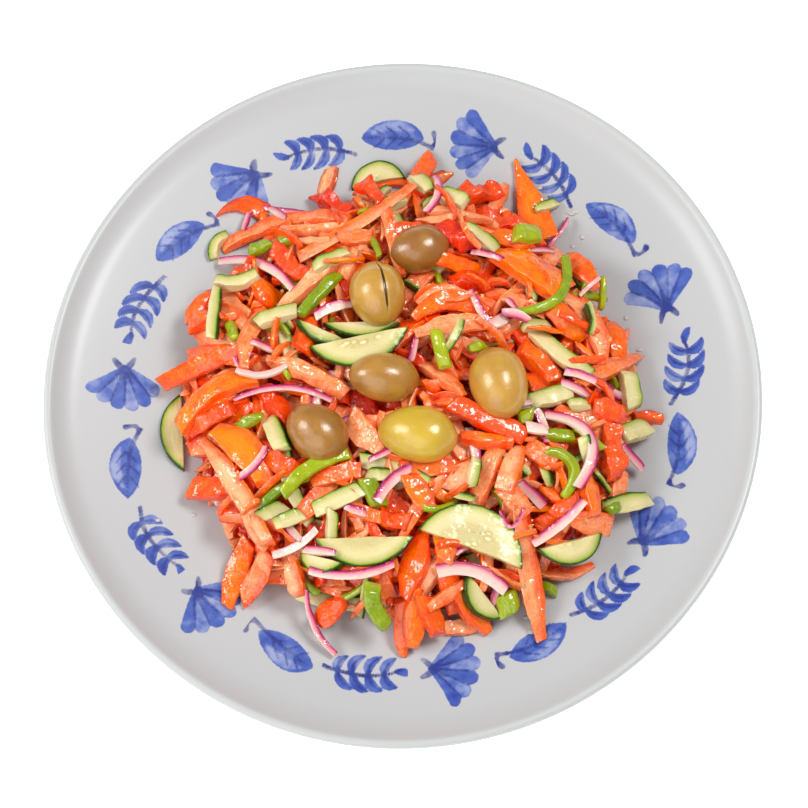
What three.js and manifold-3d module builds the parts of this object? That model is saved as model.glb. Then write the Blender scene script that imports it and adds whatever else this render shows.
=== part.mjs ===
// A plate of spoon salad: a white coupe plate with a low heap of cut tomato, cucumber,
// green pepper and red onion, and six olives on top. Millimetres, +Z up, the plate's axis is Z.
import * as THREE from 'three';
import { mergeVertices } from 'three/addons/utils/BufferGeometryUtils.js';
import Module from 'manifold-3d';

const wasm = await Module();
wasm.setup();

// ---- Plate ---------------------------------------------------------------
const plateRadius = 133.1;
const plateFloor = 5;            // height of the flat eating surface
const plateFlatRadius = 60;
const plateRise = 10.5;          // gentle rise from the flat to the foot of the rim's curl
const plateRiseWidth = 65;
const curlRadius = 120;          // where the rim starts to curl up
const curlHeight = 2.6;
const plateThickness = 3.6;
const footInner = 66;
const footOuter = 71;
const footRecess = 2;
const plateSegments = 60;
const wallRadii = [77, 92, 107, 119, 124]; // where the wall's section has points
const lipOverlap = 0.2;          // the round lip starts this far past the wall's inner curve
const slopeStep = 0.01;

// ---- Heap ----------------------------------------------------------------
const heapCentre = [2, -2];
const heapReach = 92;            // radius at which the dome meets the plate
const heapHeight = 26;
const coreSink = 5.5;            // the core lies this far under the pieces' top
const coreReach = 78;
const coreEdge = 77.9;           // the core's outermost ring, just inside its reach
const coreSlices = 36;
const coreRings = 9;
const gap = 0.3;                 // air between neighbouring solids
const sliceClearance = 0.25;     // more air under the flat slice, as the plate curves up
const fillers = 44;              // strips placed by the seeded draw
const seed = 11;
const coreFoot = 1.5;            // the core's solid reaches this far under the plate's surface
const mergeWithin = 1e-3;        // corners closer than this are one
const simplifyWithin = 0.3;      // how far a fused surface may move when its triangles are thinned

// ---- Heights on a square grid, which the pieces are laid on ----------------
const cell = 2;
const half = 116;
const count = 2 * half / cell + 1;

function plateTop(radius) {
  const rise = Math.max(0, radius - plateFlatRadius) / plateRiseWidth;
  const curl = Math.max(0, radius - curlRadius) / (plateRadius - plateThickness - curlRadius);
  return plateFloor + plateRise * rise ** 2 + curlHeight * curl ** 2.2;
}

function domeTop(x, y) {
  const share = Math.hypot(x - heapCentre[0], y - heapCentre[1]) / heapReach;
  return plateFloor + 2 + heapHeight * Math.max(0, 1 - share ** 2.4) ** 0.75;
}

function randomFrom(start) {
  let state = start;
  return () => {
    state = (Math.imul(state, 1664525) + 1013904223) >>> 0;
    return state / 4294967296;
  };
}

// ---- Solids ----------------------------------------------------------------
function toSolid(positions, triangles) {
  const mesh = new wasm.Mesh({
    numProp: 3,
    vertProperties: new Float32Array(positions),
    triVerts: new Uint32Array(triangles),
  });
  mesh.merge();
  return new wasm.Manifold(mesh);
}

// The largest closed shell of a solid: loose scraps go, and a hollow sealed by fusing is filled.
function largestShell({ vertProperties, triVerts }) {
  const parent = Array.from({ length: vertProperties.length / 3 }, (_, index) => index);
  const rootOf = (index) => {
    while (parent[index] !== index) {
      parent[index] = parent[parent[index]];
      index = parent[index];
    }
    return index;
  };
  for (let k = 0; k < triVerts.length; k += 3) {
    parent[rootOf(triVerts[k])] = rootOf(triVerts[k + 1]);
    parent[rootOf(triVerts[k + 1])] = rootOf(triVerts[k + 2]);
  }
  const shells = new Map();
  for (let k = 0; k < triVerts.length; k += 3) {
    const root = rootOf(triVerts[k]);
    shells.set(root, [...(shells.get(root) ?? []), ...triVerts.slice(k, k + 3)]);
  }
  return [...shells.values()].sort((a, b) => b.length - a.length)[0];
}

function toGeometry(solid) {
  const mesh = solid.getMesh();
  const geometry = new THREE.BufferGeometry();
  geometry.setAttribute('position', new THREE.BufferAttribute(mesh.vertProperties, 3));
  geometry.setIndex(largestShell(mesh));
  geometry.computeVertexNormals();
  return geometry;
}

// A tube of equal rings, closed by a fan at each end.
function loftRings(rings) {
  const around = rings[0].length;
  const triangles = [];
  for (let ring = 0; ring + 1 < rings.length; ring++) {
    for (let k = 0; k < around; k++) {
      const a = ring * around + k;
      const b = ring * around + (k + 1) % around;
      triangles.push(a, b, b + around, a, b + around, a + around);
    }
  }
  const last = (rings.length - 1) * around;
  for (let k = 1; k + 1 < around; k++) {
    triangles.push(0, k + 1, k, last, last + k, last + k + 1);
  }
  return toSolid(rings.flat(2), triangles);
}

// The plate's section: the eating surface, a round lip, and the same curve again underneath.
function plateProfile() {
  const inner = [];
  const outer = [];
  const lipRadius = plateThickness / 2;
  const lastInner = plateRadius - plateThickness + lipOverlap;
  for (const radius of [...wallRadii, lastInner]) {
    const slope = (plateTop(radius + slopeStep) - plateTop(radius - slopeStep)) / (2 * slopeStep);
    const reach = plateThickness / Math.hypot(1, slope);
    inner.push(new THREE.Vector2(radius, plateTop(radius)));
    outer.push(new THREE.Vector2(radius + slope * reach, plateTop(radius) - reach));
  }
  const lipStart = inner.at(-1);
  const lipEnd = outer.at(-1);
  const middle = lipStart.clone().add(lipEnd).multiplyScalar(0.5);
  const turn = Math.atan2(lipStart.y - middle.y, lipStart.x - middle.x);
  const lip = [];
  for (let step = 1; step < 4; step++) {
    const angle = turn - Math.PI * step / 4;
    const reach = new THREE.Vector2(Math.cos(angle), Math.sin(angle)).multiplyScalar(lipRadius);
    lip.push(middle.clone().add(reach));
  }
  return [
    new THREE.Vector2(0, plateFloor),
    new THREE.Vector2(plateFlatRadius, plateFloor),
    ...inner,
    ...lip,
    ...outer.reverse(),
    new THREE.Vector2(footOuter, 0),
    new THREE.Vector2(footInner, 0),
    new THREE.Vector2(footInner - 1, footRecess),
    new THREE.Vector2(0, footRecess),
  ].reverse();
}

function plateGeometry() {
  const lathe = new THREE.LatheGeometry(plateProfile(), plateSegments);
  lathe.rotateX(Math.PI / 2);
  return lathe;
}

// A three.js geometry as a solid: its seams are joined and its empty triangles at the poles left out.
function solidFromGeometry(geometry) {
  const bare = new THREE.BufferGeometry();
  bare.setAttribute('position', geometry.attributes.position);
  bare.setIndex(geometry.index);
  const merged = mergeVertices(bare, mergeWithin);
  const corners = merged.index.array;
  const triangles = [];
  for (let k = 0; k < corners.length; k += 3) {
    const [a, b, c] = corners.slice(k, k + 3);
    if (a !== b && b !== c && c !== a) {
      triangles.push(a, b, c);
    }
  }
  return toSolid(merged.attributes.position.array, triangles);
}

// A mesh in its place, as a solid in the object's frame.
function solidFromMesh(mesh) {
  mesh.updateMatrix();
  return solidFromGeometry(mesh.geometry.clone().applyMatrix4(mesh.matrix));
}

// An olive is an ellipsoid along its own X axis, pitched and then turned into its place.
function oliveMesh({ at, length, width, yaw, pitch }, grow = 0) {
  const shape = new THREE.SphereGeometry(1, 14, 8);
  shape.rotateZ(Math.PI / 2);
  shape.scale(length / 2 + grow, width / 2 + grow, width / 2 + grow);
  const mesh = new THREE.Mesh(shape);
  mesh.position.set(...at);
  mesh.rotation.set(0, -pitch, yaw, 'ZYX');
  return mesh;
}

// The cucumber slice that lies apart on the plate: a flat circular segment, tilted to the plate's slope.
function sideSliceMesh({ at, chord, depth, thickness, facing }, grow = 0) {
  const radius = (chord ** 2 / 4 + depth ** 2) / (2 * depth);
  const halfAngle = Math.asin(chord / 2 / radius);
  const outline = new THREE.Shape();
  outline.absarc(depth - radius, 0, radius + grow, -halfAngle, halfAngle, false);
  outline.lineTo(-grow, chord / 2 + grow);
  outline.lineTo(-grow, -chord / 2 - grow);
  const slab = new THREE.ExtrudeGeometry(outline, {
    depth: thickness + 2 * grow,
    bevelEnabled: false,
    curveSegments: 12,
  });
  slab.translate(0, 0, gap + sliceClearance - grow);
  const away = Math.hypot(at[0], at[1]);
  const slope = Math.atan((plateTop(away + depth) - plateTop(away - depth)) / (2 * depth));
  const mesh = new THREE.Mesh(slab);
  mesh.position.set(at[0], at[1], plateTop(away));
  mesh.rotation.set(0, -slope, facing, 'ZYX');
  return mesh;
}

// ---- Laying the pieces ------------------------------------------------------
const heights = new Float32Array(count * count);

function cellAt(x, y) {
  const column = Math.min(count - 1, Math.max(0, Math.round((x + half) / cell)));
  const row = Math.min(count - 1, Math.max(0, Math.round((y + half) / cell)));
  return row * count + column;
}

function coreTop(x, y) {
  const share = Math.hypot(x - heapCentre[0], y - heapCentre[1]) / coreReach;
  const floor = plateTop(Math.hypot(x, y));
  return share < 1 ? Math.max(floor, domeTop(x, y) - coreSink) : floor;
}

function fillHeights() {
  for (let row = 0; row < count; row++) {
    for (let column = 0; column < count; column++) {
      heights[row * count + column] = coreTop(column * cell - half, row * cell - half);
    }
  }
}

const stripEnd = 0.55;           // a strip's width at its ends, as a share
const spikeEnd = 0.22;           // a spike's width at its point, as a share
const leanLimit = 0.55;          // the steepest a piece leans sideways
const topInset = 0.12;           // a piece's top is narrower on each side by this share of its width

// Widths of each kind of piece to the left and right of its middle line at share u of its length.
const outlines = {
  strip: (u, width) => {
    const side = width / 2 * Math.min(1, stripEnd + 2.2 * Math.min(u, 1 - u));
    return [side, -side];
  },
  spike: (u, width) => {
    const side = width / 2 * (spikeEnd + (1 - spikeEnd) * Math.min(1, 1.5 * u));
    return [side, -side];
  },
  moon: (u, depth, length) => {
    const radius = (length ** 2 / 4 + depth ** 2) / (2 * depth);
    const along = (u - 0.5) * length;
    return [Math.max(0.7, Math.sqrt(radius ** 2 - along ** 2) - radius + depth), 0];
  },
};

// Thickness in mm, how far a piece bends to what it lies on, and how deep it presses in.
const kinds = {
  tomato: { outline: 'strip', thickness: 5.4, flex: 0.5, press: 1.2, steps: 4 },
  spike: { outline: 'spike', thickness: 4.8, flex: 0.35, press: 1.2, steps: 4 },
  moon: { outline: 'moon', thickness: 4.4, flex: 0.1, press: 1.2, steps: 7 },
  stick: { outline: 'strip', thickness: 4.6, flex: 0.1, press: 1.4, steps: 3 },
  pepper: { outline: 'strip', thickness: 3.4, flex: 0.4, press: 0.9, steps: 5 },
  onion: { outline: 'strip', thickness: 2.8, flex: 0.5, press: 0.8, steps: 5 },
};

// A piece's middle line runs from its first end to its second and bulges sideways by bend.
function middleLine([x0, y0], [x1, y1], bend, u) {
  const length = Math.hypot(x1 - x0, y1 - y0);
  const along = [(x1 - x0) / length, (y1 - y0) / length];
  const across = [-along[1], along[0]];
  const side = 4 * bend * u * (1 - u);
  const turn = Math.atan2(4 * bend * (1 - 2 * u), length);
  const x = x0 + along[0] * length * u + across[0] * side;
  const y = y0 + along[1] * length * u + across[1] * side;
  const normal = [
    across[0] * Math.cos(turn) - along[0] * Math.sin(turn),
    across[1] * Math.cos(turn) - along[1] * Math.sin(turn),
  ];
  return { x, y, normal, length };
}

function fitLine(values) {
  const last = values.length - 1;
  const mean = values.reduce((sum, value) => sum + value, 0) / values.length;
  let top = 0;
  let bottom = 0;
  values.forEach((value, index) => {
    const off = index / last - 0.5;
    top += off * (value - mean);
    bottom += off * off;
  });
  return values.map((_, index) => mean + top / bottom * (index / last - 0.5));
}

// Lays one piece on what is already there, raises the heights under it and returns its solid.
function layPiece({ kind, from, to, width, bend = 0 }) {
  const { outline, thickness, flex, press, steps } = kinds[kind];
  const stations = [];
  let lean = 0;
  for (let step = 0; step <= steps; step++) {
    const u = step / steps;
    const { x, y, normal, length } = middleLine(from, to, bend, u);
    const [left, right] = outlines[outline](u, width, length);
    const spots = [left, (left + right) / 2, right].map((side) => {
      return heights[cellAt(x + normal[0] * side, y + normal[1] * side)];
    });
    lean += (spots[0] - spots[2]) / (left - right) / (steps + 1);
    stations.push({ x, y, normal, left, right, rest: Math.max(...spots), middle: spots[1] });
  }
  lean = Math.min(leanLimit, Math.max(-leanLimit, lean));
  const line = fitLine(stations.map((station) => station.middle));
  const base = stations.map((station, index) => line[index] + flex * (station.middle - line[index]));
  const short = stations.map((station, index) => {
    const room = Math.abs(lean) * (station.left - station.right) / 2;
    return station.rest - room - base[index];
  });
  const [most, next] = short.sort((a, b) => b - a);
  const lift = (most + next) / 2 - press;
  const rings = stations.map(({ x, y, normal, left, right }, index) => {
    const z = base[index] + lift;
    const middle = (left + right) / 2;
    const corner = (side, up) => [
      x + normal[0] * side,
      y + normal[1] * side,
      z + lean * (side - middle) + up,
    ];
    const inset = topInset * (left - right);
    const [top, bottom] = [thickness, 0];
    return [corner(left, bottom), corner(left - inset, top), corner(right + inset, top), corner(right, bottom)];
  });
  for (let ring = 0; ring + 1 < rings.length; ring++) {
    for (let along = 0; along <= 4; along++) {
      for (let across = 0; across <= 4; across++) {
        const edge = (corner) => rings[ring][corner].map((value, axis) => {
          return value + (rings[ring + 1][corner][axis] - value) * along / 4;
        });
        const [low, high] = [edge(1), edge(2)];
        const spot = low.map((value, axis) => value + (high[axis] - value) * across / 4);
        const index = cellAt(spot[0], spot[1]);
        heights[index] = Math.max(heights[index], spot[2]);
      }
    }
  }
  return loftRings(rings);
}

// The low mound under the pieces, from the plate's surface up.
function coreSolid() {
  const rings = [];
  for (let ring = 1; ring <= coreRings; ring++) {
    const reach = coreEdge * ring / coreRings;
    rings.push(circlePoints(reach, (x, y) => coreTop(x, y)));
  }
  for (let ring = coreRings; ring >= 1; ring -= 4) {
    const reach = coreEdge * ring / coreRings;
    rings.push(circlePoints(reach, (x, y) => plateTop(Math.hypot(x, y)) - coreFoot));
  }
  return loftRings(rings.reverse());
}

function circlePoints(reach, height) {
  const points = [];
  for (let slice = 0; slice < coreSlices; slice++) {
    const angle = 2 * Math.PI * slice / coreSlices;
    const x = heapCentre[0] + reach * Math.cos(angle);
    const y = heapCentre[1] + reach * Math.sin(angle);
    points.push([x, y, height(x, y)]);
  }
  return points;
}

// ---- Where the pieces lie ----------------------------------------------------
const olives = [
  { at: [-5, 32, 35], length: 25, width: 21, yaw: 1.65, pitch: 0.12 },
  { at: [-5.5, -0.7, 36], length: 26.5, width: 18, yaw: -0.16, pitch: -0.2 },
  { at: [35.3, -7, 35.5], length: 28, width: 21.5, yaw: 1.7, pitch: -0.1 },
  { at: [4.6, -23.4, 36.5], length: 29.5, width: 20.5, yaw: -0.26, pitch: 0.1 },
  { at: [-31.5, -18.3, 34], length: 25, width: 20, yaw: -0.75, pitch: -0.15 },
  { at: [11.5, 49.5, 31], length: 24, width: 18, yaw: 0.15, pitch: 0.1 },
];

const slice = { at: [-83.3, -4.5], chord: 31, depth: 8.7, thickness: 4, facing: 3.07 };

// The pieces that catch the eye, by hand: kind, one end, the other end, width, sideways bulge.
const seenPieces = [
  ['tomato', [-66, -70], [-57, -50], 9, 0],
  ['tomato', [-74, -14], [-53, -54], 8, 1],
  ['tomato', [-69, -12], [-52, -32], 13, 2],
  ['spike', [-80, -28], [-62, -33], 8, 0],
  ['tomato', [-81, -8], [-48, 4], 8, 4],
  ['tomato', [-88, 13], [-58, 16], 6, 0],
  ['tomato', [-76, 34], [-66, 43], 8, 0],
  ['stick', [-64, 43], [-67, 23], 5, 0],
  ['tomato', [-47, 33], [-56, 8], 8, -3],
  ['spike', [-66, 78], [-45, 80], 8, 3],
  ['tomato', [-62, 67], [-14, 65], 6, 4],
  ['onion', [-63, 60], [-37, 39], 5, 4],
  ['tomato', [-18, 95], [-22, 83], 7, 0],
  ['moon', [-10, 87], [9, 88], 8, 0],
  ['tomato', [8, 82], [20, 94], 7, 0],
  ['tomato', [-32, 52], [11, 77], 6, -2],
  ['spike', [51, 90], [60, 55], 8, 0],
  ['tomato', [38, 54], [64, 47], 8, 2],
  ['tomato', [66, 45], [76, 29], 7, 0],
  ['tomato', [42, 46], [62, 28], 14, 0],
  ['tomato', [8, 22], [33, 21], 8, 5],
  ['tomato', [8, 15], [34, 17], 7, 1],
  ['pepper', [65, 43], [43, 20], 4, 9],
  ['tomato', [59, 27], [74, 1], 8, 6],
  ['tomato', [79, 22], [81, 5], 8, 0],
  ['tomato', [64, -7], [89, 6], 7, 0],
  ['stick', [51, 12], [68, -5], 7, 0],
  ['tomato', [44, 8], [56, -7], 11, 0],
  ['moon', [2, 20], [-26, 24], 6, 0],
  ['moon', [4, 17], [-31, 14], 10, 0],
  ['tomato', [-46, 12], [-20, -4], 9, 1],
  ['stick', [-50, 25], [-36, 29], 7, 0],
  ['pepper', [-33, 28], [-19, 41], 5, 0],
  ['pepper', [-45, -39], [-22, -27], 6, 3],
  ['stick', [-35, -45], [-17, -40], 7, 0],
  ['moon', [-1, -59], [-36, -57], 11, 0],
  ['moon', [1, -58], [35, -73], 15, 0],
  ['tomato', [37, -51], [41, -97], 9, 0],
  ['tomato', [-39, -81], [-27, -78], 9, 0],
  ['tomato', [-7, -78], [-9, -96], 7, 0],
  ['tomato', [-2, -74], [-5, -95], 8, 0],
  ['tomato', [11, -75], [22, -92], 7, -1],
  ['tomato', [-7, -80], [3, -57], 11, 0],
  ['onion', [6, -72], [30, -80], 6, 4],
  ['moon', [65, -62], [43, -67], 7, 0],
  ['tomato', [53, -58], [69, -58], 9, 0],
  ['tomato', [41, -31], [33, -47], 8, 0],
  ['tomato', [32, -30], [20, -52], 7, 0],
  ['tomato', [18, -15], [43, -27], 9, 0],
  ['onion', [51, -20], [59, -46], 5, 11],
  ['onion', [42, -64], [61, -54], 5, 0],
  ['tomato', [74, -24], [72, -44], 9, 0],
  ['stick', [69, -53], [85, -50], 7, 0],
  ['stick', [78, -27], [88, -24], 8, 0],
  ['tomato', [84, -16], [94, -19], 8, 0],
  ['stick', [83, -2], [83, -16], 6, 0],
];

// The other strips, by a seeded draw: even over the mound, each turned its own way.
function fillerPieces() {
  const random = randomFrom(seed);
  const golden = Math.PI * (3 - Math.sqrt(5));
  const pieces = [];
  for (let index = 0; index < fillers; index++) {
    const reach = (heapReach - 9) * Math.sqrt((index + 0.5) / fillers);
    const around = index * golden;
    const [x, y] = [heapCentre[0] + reach * Math.cos(around), heapCentre[1] + reach * Math.sin(around)];
    const yaw = 2 * Math.PI * random();
    const length = 16 + 16 * random();
    const [dx, dy] = [length / 2 * Math.cos(yaw), length / 2 * Math.sin(yaw)];
    const width = 8 + 5 * random();
    const bend = 5 * (random() - 0.5);
    pieces.push(['tomato', [x - dx, y - dy], [x + dx, y + dy], width, bend]);
  }
  return pieces;
}

function heapSolid(plate) {
  fillHeights();
  const laid = [...fillerPieces(), ...seenPieces].map(([kind, from, to, width, bend]) => {
    return layPiece({ kind, from, to, width, bend });
  });
  const fused = wasm.Manifold.union([coreSolid(), ...laid]);
  const cutters = [
    plate.translate([0, 0, gap]),
    solidFromMesh(sideSliceMesh(slice, gap)),
    ...olives.map((olive) => solidFromMesh(oliveMesh(olive, gap))),
  ];
  return fused.subtract(wasm.Manifold.union(cutters)).simplify(simplifyWithin);
}

// ---- The object ----------------------------------------------------------------
function addPart(group, name, mesh, colour, roughness) {
  mesh.material = new THREE.MeshStandardMaterial({ color: colour, roughness, metalness: 0 });
  mesh.name = name;
  group.add(mesh);
}

const salad = new THREE.Group();
const plateShape = plateGeometry();
const heapShape = toGeometry(heapSolid(solidFromGeometry(plateShape)));
addPart(salad, 'plate', new THREE.Mesh(plateShape), '#e3e5ea', 0.18);
addPart(salad, 'salad_heap', new THREE.Mesh(heapShape), '#e2603a', 0.35);
addPart(salad, 'cucumber_slice_side', sideSliceMesh(slice), '#d5d79a', 0.35);
olives.forEach((olive, index) => {
  addPart(salad, `olive_${index + 1}`, oliveMesh(olive), '#a58a45', 0.25);
});

export default salad;
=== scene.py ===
"""A plate of spoon salad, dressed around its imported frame.

A white coupe plate with a blue print round its rim carries a low heap of cut tomato, cucumber, green pepper
and red onion, with green olives on top. Shapes are worked out in millimetres and turned to metres when a
mesh is made. Every piece of the heap is laid in turn on a grid of heights, so that it rests on what is
already there."""

import collections
import functools
import math

import bpy
import numpy as np
from mathutils import Matrix, Vector


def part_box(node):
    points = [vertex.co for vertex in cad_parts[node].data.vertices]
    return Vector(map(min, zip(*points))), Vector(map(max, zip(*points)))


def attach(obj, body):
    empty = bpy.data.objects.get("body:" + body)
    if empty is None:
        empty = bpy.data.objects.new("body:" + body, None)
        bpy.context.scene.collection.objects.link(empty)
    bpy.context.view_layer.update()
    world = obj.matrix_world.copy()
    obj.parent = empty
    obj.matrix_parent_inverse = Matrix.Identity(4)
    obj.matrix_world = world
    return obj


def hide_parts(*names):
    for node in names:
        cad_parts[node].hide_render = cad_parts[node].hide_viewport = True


bl_info = {
    "name": "Plate of spoon salad",
    "version": (1, 0, 0),
    "blender": (4, 5, 0),
    "location": "View3D > Sidebar > Salad",
    "description": "Builds a plate of cut tomato, cucumber, pepper and onion salad with olives",
    "category": "Add Mesh",
}

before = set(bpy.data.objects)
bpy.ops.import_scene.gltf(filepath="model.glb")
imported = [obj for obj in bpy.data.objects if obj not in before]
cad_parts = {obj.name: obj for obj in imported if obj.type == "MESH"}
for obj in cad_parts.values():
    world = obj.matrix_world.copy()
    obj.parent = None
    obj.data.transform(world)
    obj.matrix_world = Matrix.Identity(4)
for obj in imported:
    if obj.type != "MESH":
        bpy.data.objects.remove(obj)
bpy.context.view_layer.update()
MM = 0.001
# The round lip ends this far inside the radius that the plate's section is drawn for, in mm.
LIP_INSET = 0.36


def box_mm(node):
    """A CAD node's lowest and highest corners in millimetres."""
    return np.array(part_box(node)) / MM


PLATE_RADIUS = float(box_mm("plate")[1, 0]) + LIP_INSET
OLIVE_NODES = sorted(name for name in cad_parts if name.startswith("olive_"))


# ---- Sizes and colours that a user would change --------------------------------------------------------


def number_setting(name, description, default, **more):
    """A number, with more facts such as its unit."""
    return bpy.props.FloatProperty(name=name, description=description, default=default, **more)


def size_setting(name, description, default, low=0.0):
    """A length in millimetres."""
    return number_setting(name, description + ", mm", default, min=low)


def count_setting(name, description, default):
    """A whole number."""
    return bpy.props.IntProperty(name=name, description=description, default=default)


def hex_setting(name, description, default):
    """A colour written as an sRGB hex value."""
    return bpy.props.StringProperty(name=name, description=description, default=default)


class PlateSettings(bpy.types.PropertyGroup):
    """The plate's form and the colours of its glaze and print."""

    floor_height: size_setting("Floor height", "Height of the flat eating surface", 5.0)
    flat_radius: size_setting("Flat radius", "Radius of the flat eating surface", 60.0)
    rise: size_setting("Rise", "How far the side climbs before the rim", 10.5)
    rise_width: size_setting("Rise width", "Width over which the side climbs", 65.0)
    curl_radius: size_setting("Curl radius", "Radius at which the rim starts to curl up", 120.0)
    curl_height: size_setting("Curl height", "How far the rim curls up", 2.6)
    thickness: size_setting("Thickness", "Thickness of the wall", 3.6)
    foot_inner: size_setting("Foot inner radius", "Inner radius of the foot ring", 66.0)
    foot_outer: size_setting("Foot outer radius", "Outer radius of the foot ring", 71.0)
    foot_recess: size_setting("Foot recess", "Height of the underside inside the foot ring", 2.0)
    print_radius: size_setting("Print radius", "Radius of the middle of the printed band", 105.5)
    glaze: hex_setting("Glaze", "White of the glaze", "#B0B1B2")
    # Painted light: the glaze is painted paler on the turned-up rim, for the light that bounces into the
    # curl.
    glaze_rim_painted_light: hex_setting("Glaze edge", "Paler glaze on the turned-up rim", "#B6B8B8")
    print_dark: hex_setting("Dark blue", "Strokes of the print", "#16297A")
    print_pale: hex_setting("Pale blue", "Thin washes of the print", "#8B96BC")
    print_wash: hex_setting("Middle blue", "Washes of the print", "#4059A6")
    print_pool: hex_setting("Deep blue", "Places where the wash has pooled", "#1C3490")


class HeapSettings(bpy.types.PropertyGroup):
    """The heap's form, the number of pieces under the top layer and the colours of the food."""

    centre_x: size_setting("Centre X", "Centre of the heap to the right of the plate's", 2.0, low=-50.0)
    centre_y: size_setting("Centre Y", "Centre of the heap behind the plate's", -2.0, low=-50.0)
    reach: size_setting("Reach", "Radius at which the heap meets the plate", 92.0)
    height: size_setting("Height", "Height of the heap over the plate", 26.0)
    core_sink: size_setting("Core sink", "How far the core lies under the top of the heap", 9.5)
    core_reach: size_setting("Core reach", "Radius of the core", 80.0)
    under_count: count_setting("Pieces under", "Pieces under the top layer", 300)
    seed: count_setting("Seed", "Seed of the random draws", 7)
    flesh_pale: hex_setting("Pale flesh", "Flesh of the least ripe tomato", "#FFB684")
    flesh_red: hex_setting("Red flesh", "Flesh of the ripest tomato", "#FC7628")
    skin_orange: hex_setting("Orange skin", "Skin of the least ripe tomato", "#FF8600")
    skin_red: hex_setting("Red skin", "Skin of the ripest tomato", "#F64E00")
    pulp_orange: hex_setting("Orange pulp", "Lightest wet inside of a tomato", "#FF6C10")
    pulp_red: hex_setting("Red pulp", "Darkest wet inside of a tomato", "#D82400")
    cucumber_flesh: hex_setting("Cucumber flesh", "Flesh of the cucumber", "#DCD09C")
    cucumber_skin: hex_setting("Cucumber skin", "Skin of the cucumber", "#2A420C")
    pepper_skin: hex_setting("Pepper skin", "Skin of the green pepper", "#AAB400")
    onion_skin: hex_setting("Onion edge", "Purple edge of the onion", "#9A0850")
    onion_flesh: hex_setting("Onion flesh", "Inside of the onion", "#EACBBE")


class OliveSettings(bpy.types.PropertyGroup):
    """The colours of the olives."""

    tan: hex_setting("Tan", "Colour of a brined olive", "#BE9038")
    green: hex_setting("Green", "Colour of a yellow-green olive", "#C6A826")
    brown: hex_setting("Brown", "Colour of a darker olive", "#946022")
    # Painted shade: the near-black colour stands for the shade inside the shallow crack.
    slit: hex_setting("Slit", "The cut that olives are cracked with", "#150C04")


class StageSettings(bpy.types.PropertyGroup):
    """The floor, the lights and the camera."""

    floor: hex_setting("Floor", "Colour of the floor", "#FFFFFF")
    sky_strength: number_setting("Sky", "Strength of the soft light from all round", 0.32)
    right_power: number_setting("Right light", "Watts of the right softbox", 6.4)
    left_power: number_setting("Left light", "Watts of the left softbox", 5.1)
    fill_power: number_setting("Fill light", "Watts of the wide fill light", 4.4)
    lens: number_setting("Lens", "Focal length on a 36 mm sensor, mm", 95.9)
    distance: number_setting("Distance", "From the camera to its target", 0.8, unit="LENGTH")
    elevation: number_setting("Elevation", "Height angle of the camera", math.radians(72.23), subtype="ANGLE")
    roll: number_setting("Roll", "Turn of the camera about its view", math.radians(-5.81), subtype="ANGLE")


# ---- Small tools ---------------------------------------------------------------------------------------


def linear(hex_value):
    """An sRGB hex value as a linear colour: each channel by the standard curve."""
    channels = [int(hex_value[start : start + 2], 16) / 255 for start in (1, 3, 5)]
    curve = [c / 12.92 if c <= 0.04045 else ((c + 0.055) / 1.055) ** 2.4 for c in channels]
    return (*curve, 1.0)


def join(node, sockets):
    """Sets a node's inputs. Each entry is an input's name or number with the value, or the output, that goes
    into it."""
    for name, value in sockets.items():
        if isinstance(value, bpy.types.NodeSocket):
            node.id_data.links.new(value, node.inputs[name])
        else:
            node.inputs[name].default_value = value


def add_node(tree, kind, sockets=None, output=0, stops=(), **settings):
    """Adds a node with its settings, its inputs and the (place, colour) stops of its ramp, if it has one, and
    returns one of its outputs."""
    node = tree.nodes.new("ShaderNode" + kind)
    for name, value in settings.items():
        setattr(node, name, value)
    join(node, sockets or {})
    if stops:
        elements = node.color_ramp.elements
        while len(elements) < len(stops):
            elements.new(1.0)
        for element, (place, colour) in zip(elements, stops):
            element.position, element.color = place, colour
    return node.outputs[output]


def new_material(name):
    """A material with its tree and its shader, which is already joined to the output."""
    material = bpy.data.materials.new(name)
    material.use_nodes = True
    return material, material.node_tree, material.node_tree.nodes["Principled BSDF"]


def per_metre(size):
    """The scale of a pattern whose cells are this many millimetres wide."""
    return 1 / (size * MM)


def make_piece(name, vertices, faces, attributes, material, slot, replaced=()):
    """Puts arrays into a mesh: vertices in mm, faces as arrays of quads and triangles, and one float or
    vector attribute for each entry. The piece rides on the root body."""
    mesh = bpy.data.meshes.new(name)
    mesh.vertices.add(len(vertices))
    mesh.vertices.foreach_set("co", (np.asarray(vertices) * MM).astype(np.float32).ravel())
    corners = np.concatenate([block.ravel() for block in faces])
    sizes = np.concatenate([np.full(len(block), block.shape[1]) for block in faces])
    starts = np.concatenate([[0], np.cumsum(sizes)[:-1]])
    mesh.loops.add(len(corners))
    mesh.loops.foreach_set("vertex_index", corners.astype(np.int32))
    mesh.polygons.add(len(sizes))
    mesh.polygons.foreach_set("loop_start", starts.astype(np.int32))
    mesh.polygons.foreach_set("use_smooth", np.ones(len(sizes), dtype=bool))
    for key, values in attributes.items():
        values = np.asarray(values, dtype=np.float32)
        kind = "FLOAT" if values.ndim == 1 else "FLOAT_VECTOR"
        layer = mesh.attributes.new(key, kind, "POINT")
        layer.data.foreach_set("value" if values.ndim == 1 else "vector", values.ravel())
    mesh.update(calc_edges=True)
    mesh.validate()
    mesh.materials.append(material)
    piece = bpy.data.objects.new(name, mesh)
    bpy.context.scene.collection.objects.link(piece)
    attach(piece, "root")
    if replaced:
        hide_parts(*replaced)
    return piece


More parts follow.
